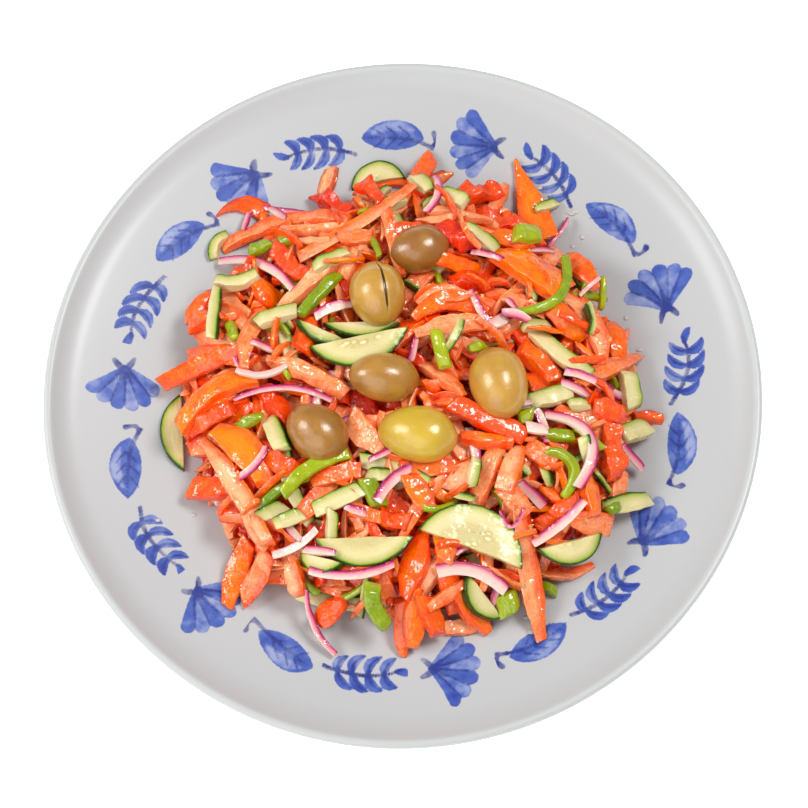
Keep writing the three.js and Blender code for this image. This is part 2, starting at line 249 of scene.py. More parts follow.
def tube_faces(rings, around):
    """Faces of a tube of rings that is closed by a pole vertex at each end: the poles come last."""
    ring = np.arange(rings - 1)[:, None] * around
    here = np.arange(around)[None, :]
    beside = (here + 1) % around
    corners = [ring + here, ring + beside, ring + around + beside, ring + around + here]
    quads = np.stack(corners, -1).reshape(-1, 4)
    step = np.arange(around)
    next_step = (step + 1) % around
    first_pole, last_pole = np.full(around, rings * around), np.full(around, rings * around + 1)
    last_ring = (rings - 1) * around
    start = np.stack([first_pole, next_step, step], -1)
    end = np.stack([last_pole, last_ring + step, last_ring + next_step], -1)
    return quads, np.concatenate([start, end])


def ripple(points, wavelength, seed, waves=7):
    """Smooth unevenness between about -1 and 1: a mean of sines along random directions and phases."""
    draw = np.random.default_rng(seed)
    directions = draw.normal(size=(waves, 3))
    directions /= np.linalg.norm(directions, axis=1, keepdims=True)
    phases = draw.uniform(0, 2 * np.pi, waves)
    stretch = draw.uniform(0.7, 1.5, waves)
    turns = points @ directions.T * (2 * np.pi / wavelength * stretch) + phases
    return np.sin(turns).sum(-1) / math.sqrt(waves)


def smooth_step(low, high, values):
    """0 below low, 1 above high, and a smooth cubic between."""
    share = np.clip((values - low) / (high - low), 0, 1)
    return share * share * (3 - 2 * share)


def plate_top(radius):
    """Height of the eating surface: flat, then a parabola up the side, then a steeper curl at the rim."""
    sizes = bpy.context.scene.salad_plate
    rise = np.maximum(0, radius - sizes.flat_radius) / sizes.rise_width
    curl_width = PLATE_RADIUS - sizes.thickness - sizes.curl_radius
    curl = np.maximum(0, radius - sizes.curl_radius) / curl_width
    return sizes.floor_height + sizes.rise * rise**2 + sizes.curl_height * curl**2.2


def heap_top(x, y):
    """Height of the finished heap: a rounded dome that falls to the plate at its reach."""
    sizes = bpy.context.scene.salad_heap
    share = np.hypot(x - sizes.centre_x, y - sizes.centre_y) / sizes.reach
    base = bpy.context.scene.salad_plate.floor_height + 2
    return base + sizes.height * np.clip(1 - share**2.4, 0, 1) ** 0.75


def core_top(x, y):
    """Height of the core: the dome sunk by its core sink, and never under the plate."""
    sizes = bpy.context.scene.salad_heap
    inside = np.hypot(x - sizes.centre_x, y - sizes.centre_y) < sizes.core_reach
    floor = plate_top(np.hypot(x, y))
    return np.where(inside, np.maximum(floor, heap_top(x, y) - sizes.core_sink), floor)


# ---- The plate -----------------------------------------------------------------------------------------

MOTIFS_AROUND = 21
MOTIF_KINDS = 3
# How far a motif reaches across the band and how far its brush work wanders, in mm, and its largest tilt.
MOTIF_REACH = 16
MOTIF_WARP = 0.7
MOTIF_TILT = 0.22

# The printed band has its own fine rings, from one radius to another in mm.
PRINT_INNER = 91.0
PRINT_OUTER = 120.0
PRINT_STEP = 0.72
# The distance to the print that stands for nowhere near it.
FAR = 9.0


def stroke_distance(points, ends, radii):
    """Distance in mm to a brush stroke: a chain of discs along a quadratic curve through a start, a middle
    and an end point, whose radius runs through three values in the same way."""
    share = np.linspace(0, 1, 25)
    weights = np.stack([(1 - share) ** 2, 2 * share * (1 - share), share**2], -1)
    middles = weights @ np.asarray(ends, float)
    sizes = weights @ np.asarray(radii, float)
    gaps = np.linalg.norm(points[:, None, :] - middles[None], axis=-1) - sizes
    return gaps.min(axis=1)


def seaweed_strokes():
    """A curved stem with pairs of fat leaves that lean towards its tip, each with a dark rib."""
    washes, lines = [], [([(-14, -3), (0, 3.4), (13, 0.5)], (0.9, 0.9, 0.6))]
    for index, place in enumerate((-9, -3.6, 1.8, 7.2)):
        size = 6.6 - 0.6 * abs(index - 1.2)
        root = (place, 0.5 + 0.1 * place)
        for side in (1, -1):
            tip = (place + 0.72 * size, root[1] + side * size)
            belly = (place - 0.15 * size, root[1] + side * 0.7 * size)
            washes.append(([root, belly, tip], (0.7, 3.1, 0.5), 0.42 + 0.3 * (side > 0)))
            lines.append(([root, (belly[0] + 1.0, belly[1]), tip], (0.6, 0.55, 0.3)))
    washes.append(([(11, 0.6), (14, 1.0), (16.5, 3.5)], (0.7, 2.4, 0.4), 0.6))
    return washes, lines


def shell_strokes():
    """A fan of ribs that spread from a hinge, with a dark line between each two and a dark hinge."""
    washes, lines = [], []
    hinge = np.array([-7.5, 0.0])
    for rib in range(6):
        angle = math.radians(-50 + 20 * rib)
        reach = np.array([math.cos(angle), math.sin(angle)]) * (15.3 - 2.2 * abs(math.sin(angle)) ** 2)
        washes.append(([hinge, hinge + reach / 2, hinge + reach], (0.8, 1.6, 2.6), 0.25 + 0.35 * (rib % 2)))
    for groove in range(5):
        angle = math.radians(-40 + 20 * groove)
        reach = np.array([math.cos(angle), math.sin(angle)]) * (15.5 - 2.2 * abs(math.sin(angle)) ** 2)
        lines.append(([hinge, hinge + reach / 2, hinge + reach], (0.7, 0.6, 0.35)))
    for side in (1, -1):
        lines.append(([(-10.5, 3.6 * side), (-8.0, 2.4 * side), (-6.0, 0)], (0.7, 1.6, 1.0)))
    return washes, lines


def leaf_strokes():
    """A broad leaf with a pale side, a dark midrib and side veins, and a curled stalk."""
    washes = [([(-10, -1.0), (1, 1.2), (13.5, 0.5)], (0.4, 10.6, 0.3), 0.55)]
    washes.append(([(-6, 2.0), (2, 5.4), (9.5, 2.0)], (0.4, 3.2, 0.4), 0.12))
    lines = [([(-14, -4.0), (-6, -0.5), (12.5, 0.5)], (0.8, 0.9, 0.4))]
    for index in range(3):
        place = -4.5 + 4.6 * index
        for side in (1, -1):
            tip = (place + 4.4, side * (4.0 - 0.4 * abs(index - 1)))
            lines.append(([(place, 0.0), (place + 1.5, side * 1.8), tip], (0.5, 0.5, 0.25)))
    lines.append(([(-13.0, -3.6), (-17, -2.4), (-14.5, 1.2)], (0.7, 0.9, 1.2)))
    return washes, lines


def print_fields(points):
    """Distance to the printed band and its tone at points in mm. The angle is folded so that one group of
    three motifs serves all of them, and each copy is warped a little as brush work is."""
    sizes = bpy.context.scene.salad_plate
    radius = np.hypot(points[:, 0], points[:, 1])
    angle = np.arctan2(points[:, 1], points[:, 0])
    spacing = 2 * np.pi / MOTIFS_AROUND
    cell = np.floor(angle / spacing + 0.5)
    along = (angle - cell * spacing) * radius
    across = radius - sizes.print_radius
    warp = np.stack([ripple(points, 34.0, 3), ripple(points, 30.0, 4)], -1) * MOTIF_WARP
    tilt = MOTIF_TILT * np.sin(cell * 2.4 + 0.7)
    local = np.stack([along, across], -1) + warp
    turned = np.stack(
        [
            local[:, 0] * np.cos(tilt) + local[:, 1] * np.sin(tilt),
            local[:, 1] * np.cos(tilt) - local[:, 0] * np.sin(tilt),
        ],
        -1,
    )
    distance = np.full(len(points), FAR)
    line = np.full(len(points), FAR)
    tone = np.full(len(points), 0.5)
    near = np.abs(across) < MOTIF_REACH
    for kind, (washes, lines) in enumerate((seaweed_strokes(), shell_strokes(), leaf_strokes())):
        chosen = np.flatnonzero(near & (np.mod(cell, MOTIF_KINDS) == kind))
        for ends, radii, stroke_tone in washes:
            gap = stroke_distance(turned[chosen], ends, radii)
            distance[chosen] = np.minimum(distance[chosen], gap)
            tone[chosen] += (stroke_tone - tone[chosen]) * smooth_step(0.6, -0.6, gap)
        for ends, radii in lines:
            line[chosen] = np.minimum(line[chosen], stroke_distance(turned[chosen], ends, radii))
    return distance, line, tone


def plate_profile():
    """Radius and height down the section: the eating surface from the middle out, the round lip, the same
    curve set off by the thickness underneath, and the foot ring."""
    sizes = bpy.context.scene.salad_plate
    last = PLATE_RADIUS - sizes.thickness + 0.2
    flat = np.array([8, 30, 60, 64, 70, 77, 84, 89])
    band = np.arange(PRINT_INNER, PRINT_OUTER, PRINT_STEP)
    curl = np.linspace(PRINT_OUTER + 0.6, last, 11)
    inner_radius = np.concatenate([flat, band, curl])
    inner = np.stack([inner_radius, plate_top(inner_radius)], -1)
    outer_radius = np.concatenate([np.linspace(sizes.foot_outer + 6, 118, 6), curl[::2]])
    slope = (plate_top(outer_radius + 0.01) - plate_top(outer_radius - 0.01)) / 0.02
    reach = sizes.thickness / np.hypot(1, slope)
    outer = np.stack([outer_radius + slope * reach, plate_top(outer_radius) - reach], -1)[::-1]
    middle = (inner[-1] + outer[0]) / 2
    lip_radius = np.linalg.norm(inner[-1] - outer[0]) / 2
    start = math.atan2(*(inner[-1] - middle)[::-1])
    turn = start - np.linspace(0, np.pi, 7)[1:-1]
    lip = middle + lip_radius * np.stack([np.cos(turn), np.sin(turn)], -1)
    foot_middle = (sizes.foot_inner + sizes.foot_outer) / 2
    foot_half = (sizes.foot_outer - sizes.foot_inner) / 2
    foot = np.array(
        [
            (sizes.foot_outer + 1.2, 1.0),
            (foot_middle + foot_half * 0.8, 0.15),
            (foot_middle + foot_half * 0.4, 0.0),
            (foot_middle - foot_half * 0.4, 0.0),
            (foot_middle - foot_half * 0.8, 0.15),
            (sizes.foot_inner - 0.6, sizes.foot_recess - 0.2),
            (sizes.foot_inner - 3, sizes.foot_recess),
            (20, sizes.foot_recess),
        ]
    )
    return np.concatenate([inner, lip, outer, foot])


def glazed_porcelain():
    """Glazed porcelain: fired clay under a clear glass glaze, which gives a cool white with soft, nearly
    sharp reflections, with painted light that makes the glaze paler where the rim turns up. The blue under
    the glaze
    is brushed by hand: a pale wash that pools darker in places, with dark strokes on it whose edges have bled
    a little."""
    colours = bpy.context.scene.salad_plate
    material, tree, shader = new_material("glazed_porcelain")
    spot = add_node(tree, "TexCoord", output="Object")
    grain = add_node(tree, "TexNoise", {"Vector": spot, "Scale": per_metre(1.4286), "Detail": 3.0})
    wash = add_node(tree, "TexNoise", {"Vector": spot, "Scale": per_metre(5.263), "Detail": 5.0})
    wave = add_node(tree, "TexNoise", {"Vector": spot, "Scale": per_metre(22.22), "Detail": 1.0})
    ragged = add_node(tree, "Math", {0: grain, 1: -0.5}, operation="ADD")

    def brushed(name, soft):
        """1 inside a stroke and 0 outside, from its distance in mm, with a ragged edge that is this soft."""
        distance = add_node(tree, "Attribute", output="Fac", attribute_name=name)
        edge = add_node(tree, "Math", {0: ragged, 1: 0.8, 2: distance}, operation="MULTIPLY_ADD")
        span = {"Value": edge, "From Min": soft, "From Max": -soft}
        return add_node(tree, "MapRange", span, interpolation_type="SMOOTHSTEP")

    tone = add_node(tree, "Attribute", output="Fac", attribute_name="motif_tone")
    pooled = add_node(tree, "Math", {0: wash, 1: 1.5, 2: tone}, operation="MULTIPLY_ADD")
    centred = add_node(tree, "Math", {0: pooled, 1: -0.75}, operation="ADD")
    blues = (colours.print_pale, colours.print_wash, colours.print_pool)
    stops = [(place, linear(blue)) for place, blue in zip((0.0, 0.5, 1.0), blues)]
    body = add_node(tree, "ValToRGB", {"Fac": centred}, stops=stops)
    # Painted light: the glaze is painted paler towards the lip, for the light that bounces into the turned-up
    # rim.
    rim = add_node(tree, "Attribute", output="Fac", attribute_name="rim_edge")
    glaze = {"Factor": rim, 6: linear(colours.glaze), 7: linear(colours.glaze_rim_painted_light)}
    base = add_node(tree, "Mix", glaze, output=2, data_type="RGBA")
    washed = {"Factor": brushed("motif_distance", 0.25), 6: base, 7: body}
    base = add_node(tree, "Mix", washed, output=2, data_type="RGBA")
    uneven = add_node(tree, "MapRange", {"Value": wash, "From Min": 0.3, "From Max": 0.6, "To Min": 0.45})
    line = add_node(tree, "Math", {0: brushed("line_distance", 0.35), 1: uneven}, operation="MULTIPLY")
    drawn = {"Factor": line, 6: base, 7: linear(colours.print_dark)}
    base = add_node(tree, "Mix", drawn, output=2, data_type="RGBA")
    bump = add_node(tree, "Bump", {"Height": wave, "Strength": 0.05, "Distance": 0.6 * MM})
    join(shader, {"Base Color": base, "Normal": bump, "Roughness": 0.45, "IOR": 1.45})
    join(shader, {"Coat Weight": 0.3, "Coat Roughness": 0.25})
    return material


def lathe(profile, segments):
    """Points of a profile of (radius, height) turned about Z, ring by ring."""
    turn = np.linspace(0, 2 * np.pi, segments, endpoint=False)
    x = profile[:, :1] * np.cos(turn)
    y = profile[:, :1] * np.sin(turn)
    z = np.repeat(profile[:, 1:], segments, axis=1)
    return np.stack([x, y, z], -1).reshape(-1, 3)


class SALAD_OT_plate(bpy.types.Operator):
    """Adds the plate with its printed rim"""

    bl_idname = "salad.plate"
    bl_label = "Plate"

    segments: count_setting("Segments", "Steps round the plate", 1160)

    def execute(self, context):
        sizes = context.scene.salad_plate
        profile = plate_profile()
        around = lathe(profile, self.segments)
        poles = [(0, 0, sizes.floor_height), (0, 0, sizes.foot_recess)]
        points = np.concatenate([around, poles])
        quads, fans = tube_faces(len(profile), self.segments)
        distance, line, tone = print_fields(points)
        radius = np.hypot(points[:, 0], points[:, 1])
        underneath = points[:, 2] < plate_top(radius) - 0.2
        distance[underneath] = FAR
        line[underneath] = FAR
        # Painted light: 0 just outside the print and 1 near the lip, where the glaze is painted paler.
        edge = smooth_step(PRINT_OUTER + 1, PLATE_RADIUS - 3, radius)
        fields = {"motif_distance": distance, "line_distance": line, "motif_tone": tone, "rim_edge": edge}
        faces = [quads[:, ::-1], fans[:, ::-1]]
        make_piece("plate_glazed", points, faces, fields, glazed_porcelain(), "porcelain", ["plate"])
        return {"FINISHED"}


# ---- Laying the heap ------------------------------------------------------------------------------------

GRID_HALF = 118


class Heights:
    """The top of what has been laid so far, on a 1 mm grid."""

    def __init__(self):
        axis = np.arange(-GRID_HALF, GRID_HALF + 1, dtype=float)
        x, y = np.meshgrid(axis, axis, indexing="ij")
        self.top = core_top(x, y)

    def cell(self, points):
        """Grid row and column of points in mm."""
        steps = np.clip(np.rint(points[..., :2]) + GRID_HALF, 0, 2 * GRID_HALF).astype(int)
        return steps[..., 0], steps[..., 1]

    def at(self, points):
        """Height under points in mm."""
        return self.top[self.cell(points)]

    def raise_to(self, points):
        """Lifts the grid to the surface points of a new piece."""
        np.maximum.at(self.top, self.cell(points), points[..., 2])


# A laid piece has this many rings along it, and this many points round it: five at each of four corners.
RINGS = 24
UNDER_RINGS = 15
CORNERS = 4
AROUND = 5 * CORNERS
# The points of a ring that look up: the left and right corners of its top and all between them.
UPPER_FACE = slice(9, 16)
# A blunt end narrows over this length, in mm.
END_CUT = 0.35
# A bare or soft piece has this depth under its skin all over, in mm.
NO_SKIN = 9.0
# Nothing is laid closer to the glaze than this, in mm.
FILM = 0.05

BOX = ((-1, 0), (1, 0), (0.93, 1), (-0.95, 0.96))
SLAB = ((-0.97, 0), (0.97, 0), (1, 1), (-1, 1))

# What each kind of piece is like: its group, its thickness, the corners of its section (across -1 to 1, up 0
# to 1), the bevel of its edges, how far it bends to what it lies on, how deep it presses in, where its skin
# is, how much its corners wander along it and the height of its unevenness. Lengths in mm.
Kind = collections.namedtuple("Kind", "group thick section bevel flex press skin wander rough")
KINDS = {
    "flesh": Kind("flesh", 3.9, BOX, 0.38, 0.6, 1.7, "side", 0.14, 0.13),
    "skin": Kind("skin", 4.0, BOX, 0.42, 0.5, 1.6, "top", 0.1, 0.13),
    "pale": Kind("flesh", 3.6, BOX, 0.36, 0.6, 1.6, "side", 0.12, 0.16),
    "pulp": Kind("pulp", 4.4, BOX, 1.1, 0.7, 1.9, "none", 0.35, 0.6),
    "moon": Kind("cucumber", 3.4, SLAB, 0.35, 0.1, 1.0, "arc", 0.03, 0.1),
    "stick": Kind("cucumber", 3.8, BOX, 0.4, 0.1, 1.2, "side", 0.1, 0.14),
    "pepper": Kind("pepper", 3.2, BOX, 0.8, 0.35, 0.9, "top", 0.12, 0.2),
    "onion": Kind("onion", 1.7, SLAB, 0.3, 0.5, 0.7, "side", 0.08, 0.1),
}
KINDS["spike"] = KINDS["skin"]

# Steepest slope along a piece, how much of it lies clear of what is under it before it presses in, how low
# its ends get and how far a skin or a pepper is domed over its width.
STEEPEST = 0.8
CLEAR_SHARE = 0.84
LOW_END = 0.72
CROWN = 0.10
# Wavelengths of a piece's unevenness and of the finer one of tomato, with that one's height, in mm.
WAVES_UP, WAVES_ALONG, FINE_WAVES, FINE_HEIGHT = 7.0, 9.0, 3.6, 0.11
# The seeds of a piece's own ripples are drawn from this many.
SEED_RANGE = 1 << 30
# How often tomato flesh has no skin on its side and onion a thinner purple edge, and how much thinner, in mm.
BARE_FLESH, BARE_ONION, WHITE_ONION = 0.4, 0.18, 1.5
# Depths in mm under the top of the heap over which painted shade grows to its full strength, for the shade
# deep in the heap.
BURIED_SHADE = (5.0, 15.0)

# Sections that a piece of tomato may have, as the knife left it, and how often it has each.
TOMATO_SECTIONS = (
    BOX,
    ((-1, 0), (1, 0), (0.96, 0.45), (-0.9, 1)),
    ((-1, 0), (1, 0), (0.9, 1), (-0.96, 0.45)),
    ((-1, 0.1), (1, 0), (0.35, 1), (-0.5, 0.9)),
)
SECTION_SHARES = (0.4, 0.2, 0.2, 0.2)


def edges_of(kind, share, width, length, tapers):
    """Sideways reach to the left and right of the middle line at each share of the length. A strip narrows
    to its ends by its tapers, a spike comes to a point, and a moon is a segment of a circle on its chord."""
    if kind == "moon":
        radius = (length**2 / 4 + width**2) / (2 * width)
        along = (share - 0.5) * length
        rise = np.sqrt(np.maximum(radius**2 - along**2, 0)) - radius + width
        return np.maximum(rise, END_CUT), np.zeros_like(share)
    if kind == "spike":
        side = width / 2 * (0.12 + 0.88 * np.minimum(1, 1.6 * share))
        return side, -side
    first = tapers[0] + (1 - tapers[0]) * smooth_step(0, 0.4, share)
    last = tapers[1] + (1 - tapers[1]) * smooth_step(0, 0.4, 1 - share)
    side = width / 2 * first * last
    return side, -side


def middle_line(start, end, bend, share):
    """Points and sideways directions along a middle line that bulges to its left by bend: a parabola."""
    span = np.subtract(end, start)
    length = float(np.hypot(*span))
    along = span / length
    across = np.array([-along[1], along[0]])
    side = 4 * bend * share * (1 - share)
    slope = 4 * bend * (1 - 2 * share) / length
    points = np.asarray(start, float) + share[:, None] * span + side[:, None] * across
    tangent = along + slope[:, None] * across
    tangent /= np.linalg.norm(tangent, axis=1, keepdims=True)
    return points, tangent, np.stack([-tangent[:, 1], tangent[:, 0]], -1), length


def rest_height(heights, plan, share, length, kind):
    """How a piece lies: the height of its middle line and its lean across. The line is a straight fit to
    what is under it plus its flex times a parabola fit to the rest, raised until most of it is clear, and
    then pressed in."""
    support = heights.at(plan)
    width = np.linalg.norm(plan[:, 0] - plan[:, -1], axis=1)
    fall = np.median((support[:, 0] - support[:, -1]) / np.maximum(width, 2.0))
    lean = 0.85 * np.clip(fall, -0.5, 0.5)
    middle = support.mean(axis=1)
    run = 2 * share - 1
    tilt = np.clip(np.polyfit(run, middle, 1)[0], -0.32 * length, 0.32 * length)
    line = middle.mean() + tilt * run
    sag = np.clip(np.polyfit(run, middle - line, 2)[0], -0.16 * length, 0.12 * length)
    line = line + kind.flex * sag * (run**2 - 1 / 3)
    offset = np.linspace(0.5, -0.5, plan.shape[1])[None, :] * width[:, None]
    short = support - (line[:, None] + lean * offset)
    return line + np.quantile(short, CLEAR_SHARE) - kind.press, lean


def section_points(corners, bevel):
    """Points round a section whose four corners are given for each ring: on each edge its two ends, which
    stop a bevel short of the corners, and two between, and at each corner the middle of its bevel."""
    following = np.roll(corners, -1, axis=1)
    edge = following - corners
    size = np.linalg.norm(edge, axis=-1, keepdims=True)
    short = np.minimum(bevel, 0.33 * size) * edge / np.maximum(size, 1e-6)
    first, last = corners + short, following - short
    thirds = [first + (last - first) * part for part in (0, 1 / 3, 2 / 3, 1)]
    bend = 0.25 * last + 0.5 * following + 0.25 * np.roll(first, -1, axis=1)
    return np.stack([*thirds, bend], axis=2).reshape(len(corners), -1, 2)


def lay_piece(heights, draw, name, start, end, width, bend, tone, rings=RINGS):
    """Lays one piece on the heights and returns its points with their fields: a bevelled section with four
    corners, carried along the middle line, that wanders a little and has its ends cut at a slant."""
    kind = KINDS[name]
    tomato = kind.group in ("flesh", "skin")
    cut = END_CUT / float(np.hypot(*np.subtract(end, start)))
    share = np.concatenate([[0, cut], np.linspace(2.5 * cut, 1 - 2.5 * cut, rings - 4), [1 - cut, 1]])
    centre, tangent, normal, length = middle_line(start, end, bend, share)
    tapers = draw.uniform(0.45 if tomato else 0.75, 1.0, 2)
    left, right = edges_of(name, share, width, length, tapers)
    sides = left[:, None] + (right - left)[:, None] * np.linspace(0, 1, 5)
    plan = centre[:, None, :] + normal[:, None, :] * sides[..., None]
    line, lean = rest_height(heights, plan, share, length, kind)
    slope = np.clip(np.gradient(line, share * length), -STEEPEST, STEEPEST)

    section = TOMATO_SECTIONS[draw.choice(len(TOMATO_SECTIONS), p=SECTION_SHARES)] if tomato else kind.section
    thick = kind.thick * draw.uniform(0.8, 1.2)
    corners = np.array(section, float) * (1, thick)
    phases = draw.uniform(0, 2 * np.pi, (2, CORNERS, 2))
    rates = draw.uniform(0.15, 0.45, (2, CORNERS, 2))
    run = (share * length)[:, None, None]
    drift = np.sin(run * rates[0] + phases[0]) + 0.5 * np.sin(2.3 * run * rates[1] + phases[1])
    half = ((left - right) / 2)[:, None]
    middle = ((left + right) / 2)[:, None]
    wander = kind.wander * drift
    corner_side = middle + half * corners[:, 0] * (1 - 0.6 * np.abs(wander[..., 0]))
    to_end = np.minimum(share, 1 - share)[:, None]
    low_ends = np.minimum(1, LOW_END + (1 - LOW_END) * to_end / 0.2)
    corner_up = corners[:, 1] * (1 + wander[..., 1]) * low_ends
    outline = section_points(np.stack([corner_side, corner_up], -1), kind.bevel)
    inset = np.ones(rings)
    inset[[0, -1]] = 1 - min(0.25, 0.5 * kind.bevel / max(half.max(), 1.0))
    core = outline.mean(axis=1, keepdims=True)
    outline = core + (outline - core) * inset[:, None, None]
    side, up = outline[..., 0], outline[..., 1]
    share_across = (side - middle) / np.maximum(half, 0.3)
    crown = CROWN * width if kind.skin == "top" else 0.0
    up = up + crown * (1 - share_across**2) * (up > 0.5 * thick)

    slants = draw.uniform(-0.5, 0.5, 2) if name not in ("moon", "spike") else np.zeros(2)
    drops = draw.uniform(-0.5, 0.5, 2) if name != "moon" else np.zeros(2)
    near_end = (1 - 2 * to_end[:, 0]) ** 2
    slant = np.where(share < 0.5, slants[0], slants[1]) * near_end
    drop = np.where(share < 0.5, drops[0], -drops[1]) * near_end
    shift = slant[:, None] * (side - middle) + drop[:, None] * (up - thick / 2)
    stand = 1 / np.sqrt(1 + slope**2 + lean**2)
    flat = centre[:, None, :] + normal[:, None, :] * side[..., None] + tangent[:, None, :] * shift[..., None]
    flat = flat - (slope * stand)[:, None, None] * tangent[:, None, :] * up[..., None]
    flat = flat - (lean * stand)[:, None, None] * normal[:, None, :] * up[..., None]
    height = line[:, None] + lean * (side - middle) + slope[:, None] * shift + up * stand[:, None]
    points = np.concatenate([flat, height[..., None]], -1).reshape(-1, 3)
    points = close_field(points)
    points[:, 2] += kind.rough * ripple(points, WAVES_UP, draw.integers(SEED_RANGE))
    points[:, :2] += 0.7 * kind.rough * ripple(points, WAVES_ALONG, draw.integers(SEED_RANGE))[:, None]
    if tomato or kind.group == "pulp":
        points += FINE_HEIGHT * ripple(points, FINE_WAVES, draw.integers(SEED_RANGE))[:, None]
    points = above_glaze(points)

    bare = NO_SKIN if name in ("flesh", "pale") and draw.random() < BARE_FLESH else 0.0
    bare = WHITE_ONION if name == "onion" and draw.random() < BARE_ONION else bare
    if kind.skin == "arc":
        radius = (length**2 / 4 + width**2) / (2 * width)
        depth = radius - np.hypot((share[:, None] - 0.5) * length, side + radius - width)
    elif kind.skin == "side":
        depth = left[:, None] - side + bare
    elif kind.skin == "top":
        depth = np.maximum(thick + crown * (1 - share_across**2) - up - 0.25 * thick, 0)
    else:
        depth = np.full(side.shape, NO_SKIN)
    offset = draw.uniform(0, 400)
    local = np.stack([share[:, None] * length + offset + 0 * side, side, up], -1).reshape(-1, 3)
    # Painted shade: 0 in the middle of a piece's top and 1 at its sides and underside, with more deep in the
    # heap; the material multiplies the colour by a richer, darker one by it.
    edge = np.maximum(0.9 * np.abs(share_across) ** 3, 1 - np.clip(up / thick, 0, 1)).reshape(-1)
    buried_shade = smooth_step(*BURIED_SHADE, heap_top(points[:-2, 0], points[:-2, 1]) - points[:-2, 2])
    fields = {
        "skin_depth": close_field(depth.reshape(-1)),
        "tone": np.full(len(points), tone),
        "edge": close_field(np.clip(0.85 * edge + 0.7 * buried_shade, 0, 1)),
        "place": close_field(local),
    }
    raise_heights(heights, points[:-2].reshape(rings, AROUND, 3))
    return points, fields


def above_glaze(points):
    """The points, lifted off the plate where they would go into it."""
    floor = plate_top(np.hypot(points[:, 0], points[:, 1])) + FILM
    return np.column_stack([points[:, :2], np.maximum(points[:, 2], floor)])


def close_field(values):
    """Adds a field's values at the two poles, as means of the end rings."""
    ends = [values[:AROUND].mean(axis=0), values[-AROUND:].mean(axis=0)]
    return np.concatenate([values, np.array(ends).reshape(2, *values.shape[1:])])


def raise_heights(heights, grid):
    """Raises the heights to a piece's upper face, filled in between its rings and across its width."""
    upper = grid[:, UPPER_FACE]
    share = np.linspace(0, 1, 5)[:, None, None, None]
    rings = upper[:-1] + (upper[1:] - upper[:-1]) * share
    low, high = rings[..., :-1, :], rings[..., 1:, :]
    heights.raise_to(low + (high - low) * np.linspace(0, 1, 4)[:, None, None, None, None])
